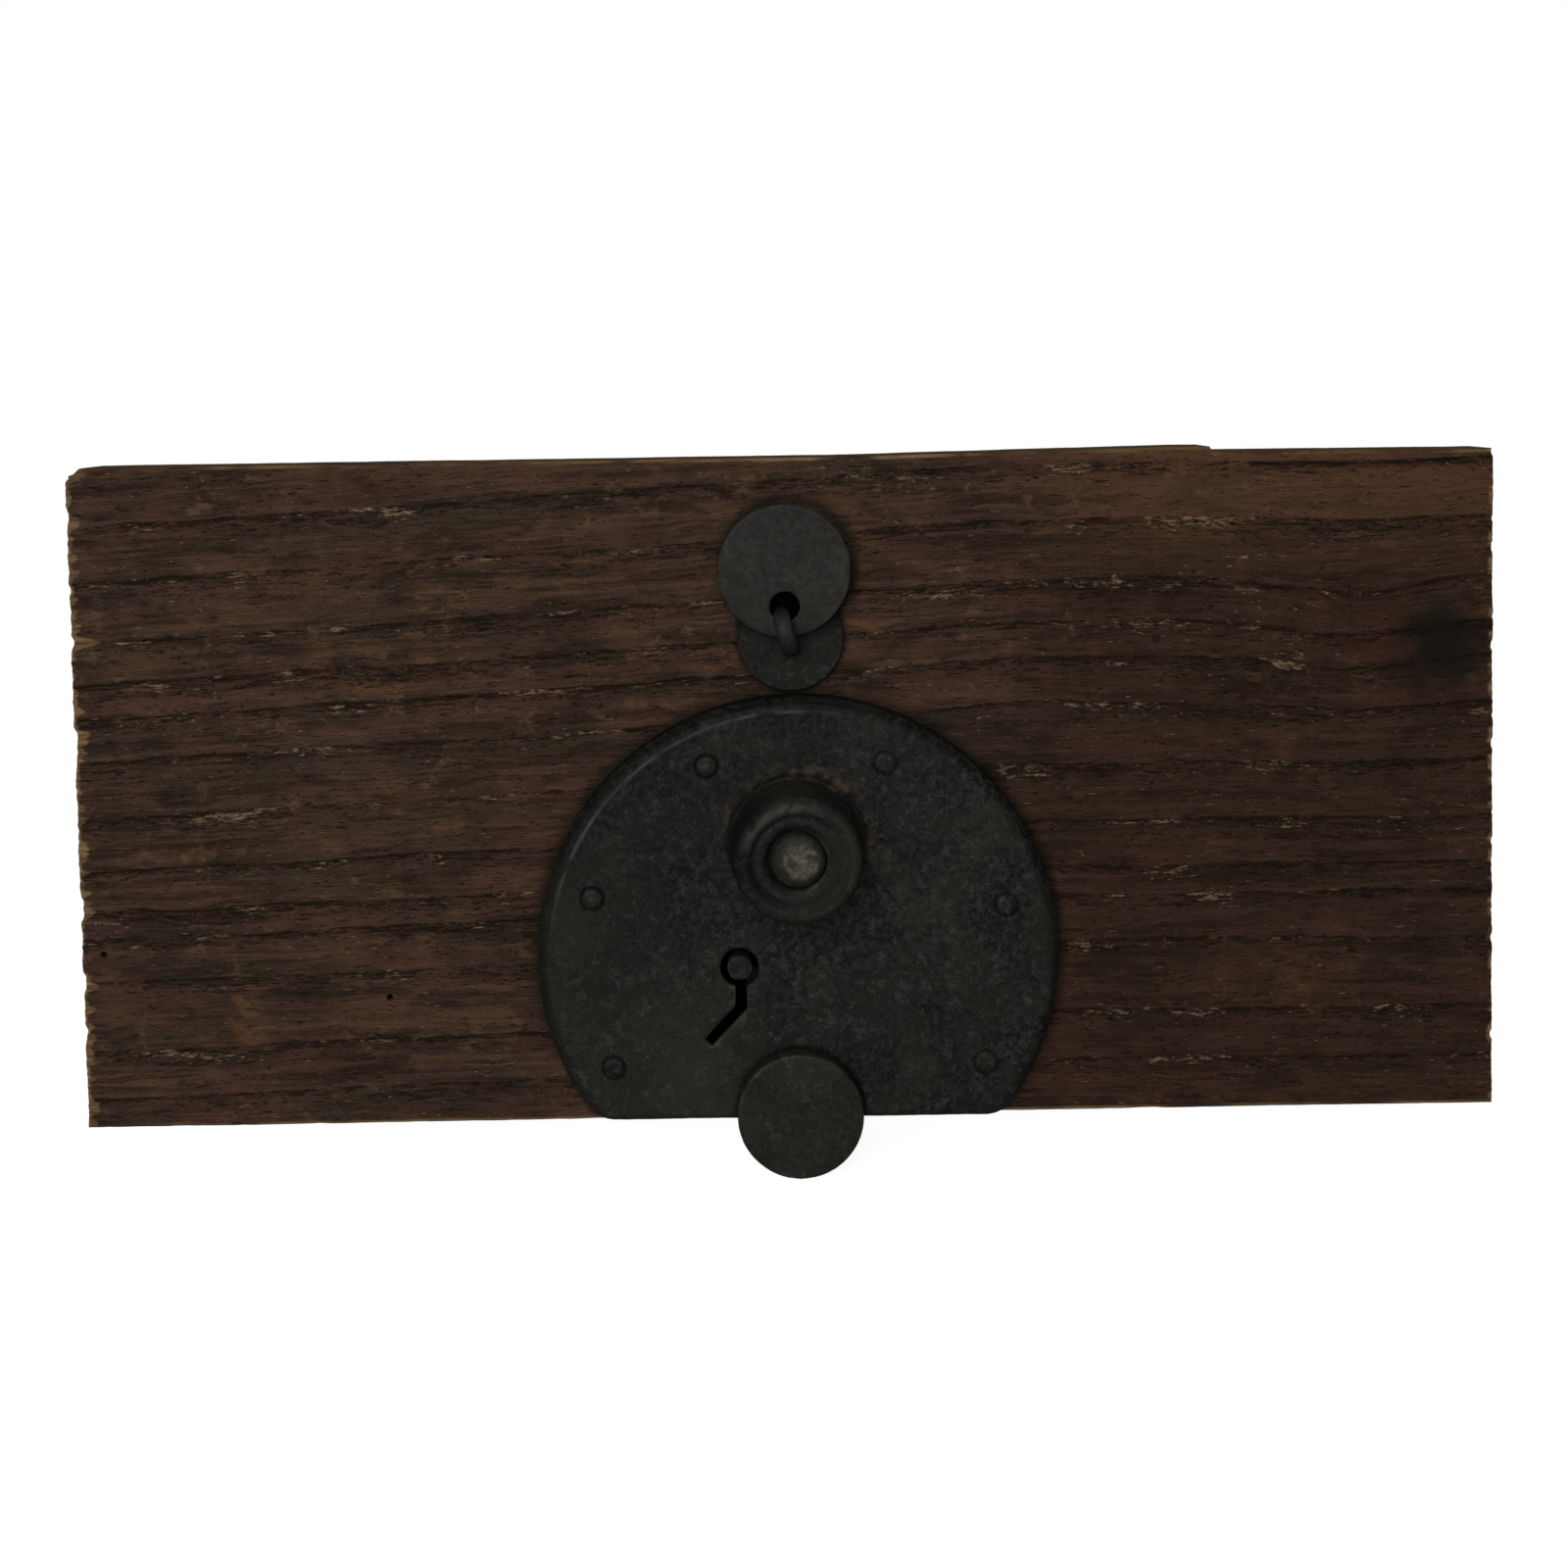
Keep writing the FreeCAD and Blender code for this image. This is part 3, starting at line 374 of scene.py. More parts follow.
class Finish:
    """Builds the node tree of one procedural material, with self.colour as the colour so far."""

    def __init__(self, name):
        self.material = bpy.data.materials.new(name)
        self.material.use_nodes = True
        self.tree = self.material.node_tree
        self.shader = self.tree.nodes["Principled BSDF"]
        self.place = self.node("ShaderNodeTexCoord").outputs["Object"]

    def node(self, kind, inputs=(), **settings):
        node = self.tree.nodes.new(kind)
        for key, value in settings.items():
            setattr(node, key, value)
        for key, value in dict(inputs).items():
            self.feed(node.inputs[key], value)
        return node

    def feed(self, socket, value):
        if isinstance(value, bpy.types.NodeSocket):
            self.tree.links.new(value, socket)
        else:
            socket.default_value = value

    def mask(self, name):
        return self.node("ShaderNodeAttribute", attribute_name=name).outputs["Fac"]

    def noise(self, vector, scale, detail=3.0, roughness=0.55):
        inputs = {"Vector": vector, "Scale": scale, "Detail": detail, "Roughness": roughness}
        return self.node("ShaderNodeTexNoise", inputs).outputs["Fac"]

    def cells(self, vector, scale, output="Distance"):
        return self.node("ShaderNodeTexVoronoi", {"Vector": vector, "Scale": scale}).outputs[output]

    def math(self, operation, first, second=0.0):
        return self.node("ShaderNodeMath", {0: first, 1: second}, operation=operation).outputs[0]

    def span(self, value, low, high, start=0.0, end=1.0):
        """Maps low..high smoothly to start..end."""
        inputs = {"Value": value, "From Min": low, "From Max": high, "To Min": start, "To Max": end}
        return self.node("ShaderNodeMapRange", inputs, interpolation_type="SMOOTHSTEP").outputs[0]

    def mix(self, share, first, second):
        node = self.node("ShaderNodeMix", {0: share, 6: first, 7: second}, data_type="RGBA")
        return node.outputs[2]

    def times(self, first, second):
        return self.math("MULTIPLY", first, second)

    def paint(self, share, colour):
        """Covers a share of the colour built up so far with another."""
        self.colour = self.mix(share, self.colour, colour)

    def stretched(self, vector, x, y, z):
        inputs = {0: vector, 1: (x, y, z)}
        return self.node("ShaderNodeVectorMath", inputs, operation="MULTIPLY").outputs[0]

    def bump(self, height, distance, normal=None, strength=1.0):
        inputs = {"Height": height, "Distance": distance, "Strength": strength}
        if normal is not None:
            inputs["Normal"] = normal
        return self.node("ShaderNodeBump", inputs).outputs["Normal"]

    def done(self, colour, roughness, normal, specular=0.5, metallic=0.0):
        self.feed(self.shader.inputs["Base Color"], colour)
        self.feed(self.shader.inputs["Roughness"], roughness)
        self.feed(self.shader.inputs["Normal"], normal)
        self.feed(self.shader.inputs["Specular IOR Level"], specular)
        self.feed(self.shader.inputs["Metallic"], metallic)
        return self.material


def iron_finish(name, dark, light, rough=0.55, rusty=0.2, speckled=0.6):
    """Blackened wrought iron: mottled, speckled and chipped, tinted in patches, bright where edges rubbed and
    where highlights are painted, dark where shade is painted.

    rusty and speckled say how strong the rust spots and the speckle are, from 0 to 1.
    """
    f = Finish(name)
    patches = f.span(f.noise(f.place, 120, 3), 0.35, 0.65)
    mottle = f.span(f.noise(f.place, 520, 4, 0.65), 0.42, 0.6)
    f.colour = f.mix(mottle, dark, light)
    blue = f.span(f.noise(f.place, 75, 2), 0.54, 0.7, 0, 0.2)
    f.paint(blue, tint(26, 28, 31))
    olive = f.span(f.noise(f.stretched(f.place, 1, 1, -1), 55, 2), 0.42, 0.62, 0, 0.5)
    f.paint(f.math("ADD", olive, f.mask("olive")), tint(36, 36, 29))
    cloud = f.span(f.noise(f.place, 32, 3), 0.4, 0.62, 0.4, 0)
    f.paint(cloud, tint(18, 18, 17))
    chips = f.span(f.noise(f.place, 400, 4, 0.7), 0.55, 0.64)
    f.paint(f.times(chips, speckled), tint(51, 51, 48))
    speckle = f.span(f.noise(f.place, 1500, 2, 0.7), 0.58, 0.76)
    f.paint(f.times(speckle, speckled), tint(66, 65, 62))
    grains = f.span(f.cells(f.place, 900), 0.0, 0.3, 1, 0)
    f.paint(f.times(grains, speckled), tint(9, 9, 9))
    rust_spots = f.span(f.noise(f.place, 260, 4, 0.7), 0.6, 0.72, 0, rusty)
    rust = f.math("MAXIMUM", rust_spots, f.mask("rust"))
    rust_colour = f.mix(f.noise(f.place, 700, 3), tint(38, 32, 24), tint(80, 67, 50))
    f.paint(rust, rust_colour)
    f.paint(f.times(f.mask("pit"), 0.6), tint(13, 12, 11))
    # near-black paint from a mask that is partly dirt and partly painted shade in creases, gaps and on shaded
    # sides
    grime_and_shade = f.mask("grime_and_shade")
    f.paint(grime_and_shade, tint(5, 5, 5))
    # rubbed edges, plus painted highlights along some arrises and beads and on the front of the eye
    rubbing = f.span(f.noise(f.place, 180, 4), 0.45, 0.65)
    rubbed = f.times(f.span(f.mask("edge"), 0.2, 0.8), rubbing)
    rubbed = f.math("MAXIMUM", f.times(rubbed, 0.45), f.times(f.mask("wear_and_highlight"), 0.7))
    f.paint(rubbed, tint(70, 69, 64))
    # painted shade: darker in hollows and inner corners
    hollow = f.span(f.mask("edge"), -0.6, -0.1, 0.7, 0)
    f.paint(hollow, tint(10, 10, 9))
    # worn bright metal on the button, and painted highlights on some nail heads
    polish_and_highlight = f.mask("polish_and_highlight")
    worn = f.mix(f.span(f.noise(f.place, 420, 5, 0.7), 0.35, 0.65), tint(50, 46, 40), tint(94, 88, 76))
    worn = f.mix(f.span(polish_and_highlight, 0.25, 0.7), tint(40, 36, 32), worn)
    f.paint(f.span(polish_and_highlight, 0.0, 0.35), worn)
    roughness = f.span(f.noise(f.place, 500, 3), 0.3, 0.7, rough - 0.08, rough + 0.12)
    roughness = f.math("ADD", roughness, f.times(polish_and_highlight, -0.12))
    normal = f.bump(f.noise(f.place, 900, 4, 0.7), 0.10 * MM)
    normal = f.bump(patches, 0.12 * MM, normal)
    metal = f.times(polish_and_highlight, 0.35)
    gloss = f.times(f.math("SUBTRACT", 1.0, grime_and_shade), 0.14)
    return f.done(f.colour, roughness, normal, specular=gloss, metallic=metal)


def spring_finish(name):
    f = Finish(name)
    drawn = f.noise(f.stretched(f.place, 200, 3000, 200), 1.0, 3)
    f.colour = f.mix(f.span(drawn, 0.35, 0.65), tint(58, 58, 62), tint(98, 97, 98))
    blotch = f.span(f.noise(f.place, 260, 3), 0.55, 0.7, 0, 0.6)
    f.paint(blotch, tint(62, 46, 34))
    return f.done(f.colour, f.span(drawn, 0.3, 0.7, 0.3, 0.5), f.bump(drawn, 0.05 * MM), metallic=0.85)


def wood_finish(name):
    """Dark stained coarse-pored wood; the masks say where rings, tears, flecks, stains, painted shade round
    the ironwork and bare wood lie.
    """
    f = Finish(name)
    parts = f.node("ShaderNodeSeparateXYZ", {0: f.place}).outputs
    ripple = f.times(f.noise(f.stretched(f.place, 160, 60, 260), 1.0, 3, 0.6), 1.1 * MM)
    grain = f.math("ADD", f.mask("grain"), ripple)
    along = f.node("ShaderNodeCombineXYZ", {0: parts[0], 1: parts[1], 2: grain}).outputs[0]
    band = f.mask("band")
    worn = f.mask("worn")

    def dashes(length, width, detail, lift, low, high, bulk=1.0):
        """Short marks along the grain, rare in plain wood and crowded where lift is high."""
        raw = f.noise(f.stretched(along, 1 / length, 1 / (4 * MM), 1 / width), 1.0, detail, 0.6)
        value = f.math("ADD", raw, lift)
        return f.times(f.span(value, low, high), bulk)

    fibres = f.noise(f.stretched(along, 70, 300, 3400), 1.0, 3, 0.6)
    streaks = f.noise(f.stretched(along, 20, 150, 620), 1.0, 4, 0.65)
    clouds = f.noise(f.stretched(along, 18, 40, 80), 1.0, 4, 0.6)
    smudges = f.noise(f.stretched(along, 26, 60, 190), 1.0, 4, 0.65)
    f.colour = f.mix(f.span(streaks, 0.34, 0.66), tint(41, 30, 22), tint(70, 52, 39))
    blotches = f.span(f.noise(f.stretched(f.place, 34, 60, 62), 1.0, 4, 0.6), 0.44, 0.6)
    f.paint(f.span(clouds, 0.45, 0.62, 0, 0.6), tint(71, 47, 38))
    f.paint(f.times(blotches, 0.38), tint(80, 56, 45))
    shade = f.span(f.noise(f.stretched(f.place, 48, 60, 70), 1.0, 4, 0.6), 0.5, 0.64, 0, 0.5)
    f.paint(shade, tint(40, 31, 21))
    grey = f.span(f.noise(f.stretched(along, 14, 40, 90), 1.0, 3), 0.5, 0.66, 0, 0.5)
    f.paint(grey, tint(48, 41, 31))
    f.paint(f.span(smudges, 0.5, 0.64, 0, 0.65), tint(28, 22, 16))
    f.paint(f.span(fibres, 0.46, 0.66, 0.0, 0.3), tint(27, 19, 13))
    f.paint(f.span(fibres, 0.46, 0.32, 0.0, 0.3), tint(92, 70, 52))
    faded = f.span(f.noise(f.stretched(f.place, 110, 60, 190), 1.0, 5, 0.7), 0.53, 0.66, 0, 0.6)
    faded = f.times(faded, f.span(f.noise(f.place, 42, 2), 0.42, 0.6))
    f.paint(faded, tint(90, 69, 50))
    dirty = f.span(f.noise(f.stretched(f.place, 75, 60, 150), 1.0, 5, 0.7), 0.54, 0.7, 0, 0.6)
    f.paint(dirty, tint(24, 19, 14))
    f.paint(f.mask("warm"), tint(90, 61, 40))
    f.paint(f.mask("red"), tint(70, 38, 26))
    f.paint(f.times(band, 0.6), tint(27, 22, 17))
    deep = f.mask("deep")
    f.paint(f.times(deep, 0.5), tint(37, 23, 14))
    # stains, and painted shade round the plate, the disc and the rose
    stain = f.mask("stain")
    f.paint(stain, tint(22, 20, 15))

    lift = f.times(band, 0.15)
    fleck_lift = f.math("SUBTRACT", f.times(f.math("SUBTRACT", worn, stain), 0.28), 0.04)
    flecks = dashes(3.4 * MM, 0.6 * MM, 3, fleck_lift, 0.62, 0.71, 0.9)
    specks = dashes(1.4 * MM, 0.55 * MM, 2, fleck_lift, 0.68, 0.79, 0.85)
    long_tears = dashes(4.5 * MM, 0.5 * MM, 3, lift, 0.63, 0.69, 0.85)
    short_tears = dashes(1.9 * MM, 0.45 * MM, 2, lift, 0.65, 0.72, 0.8)
    tears = f.math("MAXIMUM", f.math("MAXIMUM", long_tears, short_tears), f.mask("tear"))
    pale = f.mix(f.noise(f.place, 600, 2), tint(84, 68, 53), tint(128, 107, 84))
    fleck = f.math("MAXIMUM", f.math("MAXIMUM", flecks, specks), f.mask("fleck"))
    f.paint(fleck, pale)
    f.paint(tears, tint(21, 15, 10))
    raw = f.mix(f.span(streaks, 0.35, 0.65), tint(78, 60, 39), tint(120, 97, 66))
    raw = f.mix(f.span(fibres, 0.45, 0.7, 0, 0.5), raw, tint(70, 52, 34))
    f.paint(f.mask("bare"), raw)
    aged = f.mix(f.span(streaks, 0.3, 0.7), tint(62, 50, 39), tint(92, 76, 59))
    aged = f.mix(f.span(fibres, 0.42, 0.68, 0.0, 0.4), aged, tint(48, 38, 29))
    f.paint(f.mask("back"), aged)
    height = f.math("SUBTRACT", f.times(streaks, 0.5), tears)
    normal = f.bump(height, 0.16 * MM)
    return f.done(f.colour, f.span(streaks, 0.3, 0.7, 0.7, 0.85), normal, specular=0.06)


# ---- board

board_low, board_high = corners_of("board")
plate_low, plate_high = corners_of("lock_plate")
back_low, back_high = corners_of("back_plate")
bolt_low, bolt_high = corners_of("bolt")
eye_low, eye_high = corners_of("pull_eye")
disc_low, disc_high = corners_of("pull_disc")
guard_low, guard_high = corners_of("guard_disc")
boss_low, boss_high = corners_of("boss_collar")

PLATE_CENTRE = (0, 0)
plate_radius = (plate_high[0] - plate_low[0]) / 2
boss_centre = (boss_low + boss_high)[[0, 2]] / 2
disc_centre = (disc_low + disc_high)[[0, 2]] / 2
disc_radius = (disc_high[0] - disc_low[0]) / 2
rose_low, rose_high = corners_of("pull_backplate")
rose_centre = (rose_low + rose_high)[[0, 2]] / 2
post_low, post_high = corners_of("key_post")
key_centre = (post_low + post_high)[[0, 2]] / 2
guard_centre = (guard_low + guard_high)[[0, 2]] / 2
guard_radius = (guard_high[0] - guard_low[0]) / 2
nail_centres = separate_centres("plate_nails", 8 * MM)

# growth ring lines in the middle of the board, marks on it, and each rubbed patch's middle and half sizes
RING_HEIGHTS = np.array([134, 118, 101, 89, 79, 66, 49, 33, 20, 12, -1, -21, -35]) * MM
KNOT = np.array([130, 93]) * MM
STAIN = np.array([183, 83]) * MM
RED_PATCH = np.array([164, 89]) * MM
RUBBED_SPOTS = np.array([
    (-134, 82, 4, 11), (-122, 76, 7, 4), (-158, -18, 5, 12), (20, 92, 6, 3), (138, 62, 4, 9),
    (142, -12, 7, 9), (-100, 36, 9, 3), (118, 28, 8, 4), (-60, 112, 9, 3), (150, 96, 6, 4),
]) * MM


def grain_height(points):
    """Height above the origin that each point's growth ring would have in the middle of the board."""
    x, z = points[:, 0], points[:, 2]
    rise = 0.055 * (0.55 + 0.45 * step(z, -20 * MM, 90 * MM))
    lean = rise * np.minimum(x, 60 * MM)
    dip = 5 * MM * bell(x - 160 * MM, 26) * bell(z - 88 * MM, 26)
    curl = bell(from_axis(points, KNOT), 17)
    wobble = 1.2 * MM * fractal(points, (34, 60, 14), 3)
    wobble = wobble + 0.35 * MM * fractal(points, (5, 20, 3), 5, 2)
    wobble = wobble + 1.8 * MM * curl * fractal(points, (5, 20, 4), 7)
    return z - lean + dip + wobble + 0.35 * (points[:, 1] - board_low[1])


def ring_bands(grain, points):
    """1 on the dark early wood just below each growth ring line, fading downwards."""
    strength = 0.72 + 1.1 * fractal(points, (15, 50, 7), 11)
    scattered = np.clip(0.5 + 0.9 * fractal(points, (28, 50, 10), 15), 0, 1)
    band = np.zeros(len(grain))
    for i, height in enumerate(RING_HEIGHTS):
        below = height - grain
        width = (1.0 + 1.0 * lattice(np.array([[i, 0, 0]]), 5)[0]) * MM
        crisp = np.where(below > 0, np.exp(-((np.maximum(below, 0) / width) ** 1.5)), bell(below, 0.3))
        wide = 0.85 * scattered * bell(np.maximum(below, 0), 4.5) * step(below, -0.4 * MM, 0.2 * MM)
        band = np.maximum(band, np.maximum(crisp * np.clip(strength, 0.25, 1.1), wide))
    return np.clip(band, 0, 1)


def wood_masks(points):
    """The wood's masks by name, plus its relief in metres, positive outwards."""
    grain = grain_height(points)
    along = np.stack([points[:, 0], points[:, 1], grain], axis=1)
    band = ring_bands(grain, points)
    pores = step(fractal(along, (7, 9, 0.5), 21, 2), 0.2, 0.45)
    tear = np.clip(pores * 1.1 * step(band, 0.25, 0.6), 0, 1)
    rubbed = step(fractal(points, (30, 60, 7), 41), -0.1, 0.5)
    curl = bell(from_axis(points, KNOT), 15)
    fretted = step(fractal(points, (13, 60, 5), 45), -0.05, 0.4)
    worn = np.clip(0.05 + 0.8 * step(band, 0.1, 0.6) + 0.9 * curl, 0, 1) * (0.2 * rubbed + 0.8 * fretted)
    worn = worn * (1 - 0.5 * step(points[:, 0], 125 * MM, 160 * MM) * (1 - curl))
    relief = -0.30 * MM * tear - 0.12 * MM * band
    relief = relief + 0.14 * MM * fractal(points, (45, 60, 11), 61, 2)
    relief = relief + 0.06 * MM * fractal(along, (12, 9, 0.9), 71, 2)
    return {"grain": grain, "band": band, "tear": tear * 0.8, "worn": worn}, relief


def scratches(points):
    """Pale scratches here and there on the front, as one mask."""
    total = np.zeros(len(points))
    for i in range(22):
        rolls = lattice(np.array([[i, k, 0] for k in range(5)]), 99)
        start = board_low[[0, 2]] + (board_high - board_low)[[0, 2]] * rolls[:2]
        angle = math.radians(35 + 110 * rolls[2])
        reach = (1.5 + 7 * rolls[3] ** 2) * MM
        direction = np.array([math.cos(angle), math.sin(angle)])
        offset = points[:, [0, 2]] - start
        forward = np.clip(offset @ direction, 0, reach)
        distance = np.linalg.norm(offset - forward[:, None] * direction, axis=1)
        total = np.maximum(total, bell(distance, 0.25) * (0.15 + 0.5 * rolls[4]))
    return total * step(fractal(points, 1.6, 91, 2), -0.3, 0.35)


def faded_spots(points):
    """Patches where the stain has been rubbed thin."""
    total = np.zeros(len(points))
    for x, z, wide, tall in RUBBED_SPOTS:
        spot = np.hypot((points[:, 0] - x) / wide, (points[:, 2] - z) / tall)
        total = np.maximum(total, step(-spot + 0.5 * fractal(points, 4, 191), -1.3, -0.3))
    return total * step(fractal(points, (2.5, 9, 1.2), 195, 2), -0.4, 0.5)


SPLINTER_END = 119 * MM
SPLINTER_DEPTH = 1.4 * MM
NOTCH_HEIGHT = 90.3 * MM
BOTTOM_RISE = 1.4 * MM
TOP_RISE = 1.4 * MM
EDGE_LEAN = 0.006


def edge_insets(x, z):
    """How far the worn outline lies inside the sawn rectangle, on the left, right, bottom and top."""
    down = np.stack([np.zeros_like(z), np.zeros_like(z), z], axis=1)
    across = np.stack([x, np.zeros_like(x), np.zeros_like(x)], axis=1)

    def ripple(line, depth, length, seed, octaves=3):
        return depth * MM * (1 + fractal(line, length, seed, octaves))

    left = ripple(down, 0.25, 13, 101) + 0.8 * MM * step(noise(down, 7, 104), 0.35, 0.8)
    left = left + ripple(down, 0.25, 1.6, 107, 2) + 0.8 * MM * bell(z - NOTCH_HEIGHT, 1.6)
    left = left + EDGE_LEAN * (board_high[2] - z)
    right = ripple(down, 0.20, 15, 111) + 0.5 * MM * step(noise(down, 4, 114), 0.5, 0.9)
    right = right + ripple(down, 0.12, 1.3, 117, 2)
    bottom = ripple(across, 0.12, 20, 121) + BOTTOM_RISE * step(x, board_low[0], board_high[0])
    top = ripple(across, 0.12, 18, 131) + TOP_RISE * (1 - step(x, 0, SPLINTER_END))
    top = top + np.where(x > SPLINTER_END, SPLINTER_DEPTH + 0.004 * (x - SPLINTER_END), 0)
    top = top + 1.6 * MM * step(board_low[0] + 4.5 * MM - x, 0, 4 * MM)
    left = left + 2.2 * MM * step(z - board_high[2] + 2.6 * MM, 0, 2.4 * MM)
    return left, right, bottom, top


def graded(low, high, fine, coarse, margin):
    """Positions from low to high, closer together within a margin of both ends."""
    ends = max(2, round(margin / fine))
    middle = round((high - low - 2 * margin) / coarse)
    return np.concatenate([
        np.linspace(low, low + margin, ends, endpoint=False),
        np.linspace(low + margin, high - margin, middle, endpoint=False),
        np.linspace(high - margin, high, ends + 1),
    ])


def worn_outline(flat):
    """Moves points of the sawn rectangle to the worn outline."""
    x, z = flat[:, 0], flat[:, 2]
    left, right, bottom, top = edge_insets(x, z)
    reach = 7 * MM

    def near(distance):
        return np.clip(1 - distance / reach, 0, 1) ** 2

    moved = flat.copy()
    moved[:, 0] += left * near(x - board_low[0]) - right * near(board_high[0] - x)
    moved[:, 2] += bottom * near(z - board_low[2]) - top * near(board_high[2] - z)
    return moved


def edge_distance(points):
    return np.minimum.reduce([
        points[:, 0] - board_low[0], board_high[0] - points[:, 0],
        points[:, 2] - board_low[2], board_high[2] - points[:, 2],
    ])


def build_board():
    """A closed board: a finely carved front, worn edges, and a coarser back."""
    xs = graded(board_low[0], board_high[0], 0.3 * MM, 0.75 * MM, 3 * MM)
    zs = graded(board_low[2], board_high[2], 0.25 * MM, 0.32 * MM, 3 * MM)
    columns, rows = len(xs), len(zs)
    gx, gz = np.meshgrid(xs, zs)
    flat = np.stack([gx.ravel(), np.full(gx.size, board_low[1]), gz.ravel()], axis=1)
    relief = wood_masks(flat)[1]
    distance = edge_distance(flat)
    radius = (0.7 + 0.9 * step(fractal(flat, 11, 141), -0.2, 0.6)) * MM
    rounding = radius * (1 - np.sqrt(np.clip(1 - (1 - np.clip(distance / radius, 0, 1)) ** 2, 0, 1)))
    calm = step(distance, 0, 1.5 * MM)
    front = worn_outline(flat)
    front[:, 1] += np.maximum(rounding - relief * calm, 0.0)

    def at(row, column):
        return row * columns + column

    rim = [at(0, c) for c in range(columns)] + [at(r, columns - 1) for r in range(1, rows)]
    rim += [at(rows - 1, c) for c in range(columns - 2, -1, -1)] + [at(r, 0) for r in range(rows - 2, 0, -1)]
    points = [front]
    faces = [(at(r, c), at(r, c + 1), at(r + 1, c + 1), at(r + 1, c))
             for r in range(rows - 1) for c in range(columns - 1)]
    loop = rim
    count = len(front)
    edge = front[rim]
    middle, half = (board_low + board_high) / 2, (board_high - board_low) / 2
    at_end = np.abs(flat[rim][:, 0] - middle[0]) > half[0] - 1e-6
    axis = np.where(at_end[:, None], [1, 0, 0], [0, 0, 1])
    for share in np.linspace(0, 1, 12)[1:]:
        ring = edge.copy()
        ring[:, 1] = edge[:, 1] * (1 - share) + board_high[1] * share
        inward = 0.10 * MM * fractal(ring, (8, 1.5, 8), 151)
        bevel = 0.5 * MM * step(share, 0.93, 1.0)
        ring -= axis * np.sign(ring - middle) * np.abs(inward)[:, None]
        ring -= (ring - middle) * [1, 0, 1] * bevel / half
        new_loop = list(range(count, count + len(ring)))
        faces += [(loop[i], new_loop[i], new_loop[(i + 1) % len(rim)], loop[(i + 1) % len(rim)])
                  for i in range(len(rim))]
        points.append(ring)
        loop, count = new_loop, count + len(ring)
    faces.append(tuple(reversed(loop)))
    return make_mesh("board_wood", np.concatenate(points), faces)


MORTISE_MARGIN = 7.5 * MM
PLATE_GAP = 0.05 * MM
BOLT_GAP = 0.3 * MM
OLD_HOLE_RADIUS = 1.0 * MM
OLD_HOLES = [m["pos_m"] for m in frame["record"]["mounts"] if m["kind"] == "bore"]
EYE_TURN = math.radians(15)
EYE_ROOM = 1.6 * MM
OVER = 2 * MM

board = build_board()
mortise_low, mortise_high = back_low + MORTISE_MARGIN, back_high - MORTISE_MARGIN
eye_middle = (eye_low + eye_high) / 2
in_front = board_low[1] - OVER
cutters = [
    box_cutter((mortise_low[0], in_front, mortise_low[2]), (mortise_high[0], OVER, mortise_high[2])),
    box_cutter((back_low[0] - PLATE_GAP, back_low[1], back_low[2] - PLATE_GAP),
               (back_high[0] + PLATE_GAP, OVER, back_high[2] + PLATE_GAP)),
    box_cutter((bolt_low[0] - BOLT_GAP, bolt_low[1] - BOLT_GAP, board_low[2] - OVER),
               (-bolt_low[0] + BOLT_GAP, bolt_high[1] + BOLT_GAP, mortise_low[2] + OVER)),
    box_cutter((eye_middle[0] - EYE_ROOM, -EYE_ROOM * 2, eye_low[2] - OVER),
               (eye_middle[0] + EYE_ROOM, OVER, eye_high[2] + OVER), EYE_TURN),
]
for spot in OLD_HOLES:
    cutters.append(rod_cutter(spot[0], spot[2], OLD_HOLE_RADIUS, in_front, OVER))
carve(board, cutters)

mesh = board.data
points = points_of(mesh)
masks = wood_masks(points)[0]
frontal = step(-points[:, 1], -board_low[1] - 3.0 * MM, -board_low[1] - 1.0 * MM)
x, z = points[:, 0], points[:, 2]

# bare wood: torn along the grain at both ends, rubbed off in places along the top and bottom
along = np.stack([points[:, 0] * 0, points[:, 1] * 0.2, masks["grain"]], axis=1)
torn = (1.1 + 2.6 * step(fractal(along, 2.2, 171, 3), -0.25, 0.55)) * MM
torn = torn * (0.35 + 0.65 * step(fractal(along, 9, 175, 2), -0.45, 0.1))
torn = torn + 5.2 * MM * bell(z - NOTCH_HEIGHT, 1.5)
inset_left, inset_right, inset_low, inset_high = edge_insets(x, z)
from_left = x - board_low[0] - inset_left
bare = step(torn - from_left, -0.2 * MM, 0.3 * MM)
corner = np.hypot(x - board_low[0], z - board_high[2])
bare = np.maximum(bare, step(7 * MM - corner + 3 * MM * fractal(points, 3, 177), 0, 1.5 * MM))
from_right = board_high[0] - x - inset_right
splinters = step(fractal(along, 3.0, 185, 2), 0.0, 0.35)
bare = np.maximum(bare, step(1.8 * MM - from_right, 0, 0.8 * MM) * splinters)
from_rim = np.minimum(z - board_low[2] - inset_low, board_high[2] - inset_high - z)
patchy = step(fractal(points, (16, 4, 5), 161), -0.35, 0.15)
bare = np.maximum(bare, step(1.3 * MM - from_rim, 0, 0.7 * MM) * patchy)
stub = 1 - step(-points[:, 1], -board_low[1] - 0.8 * MM, -board_low[1] - 0.25 * MM)
bare = bare * (1 - 0.3 * stub)

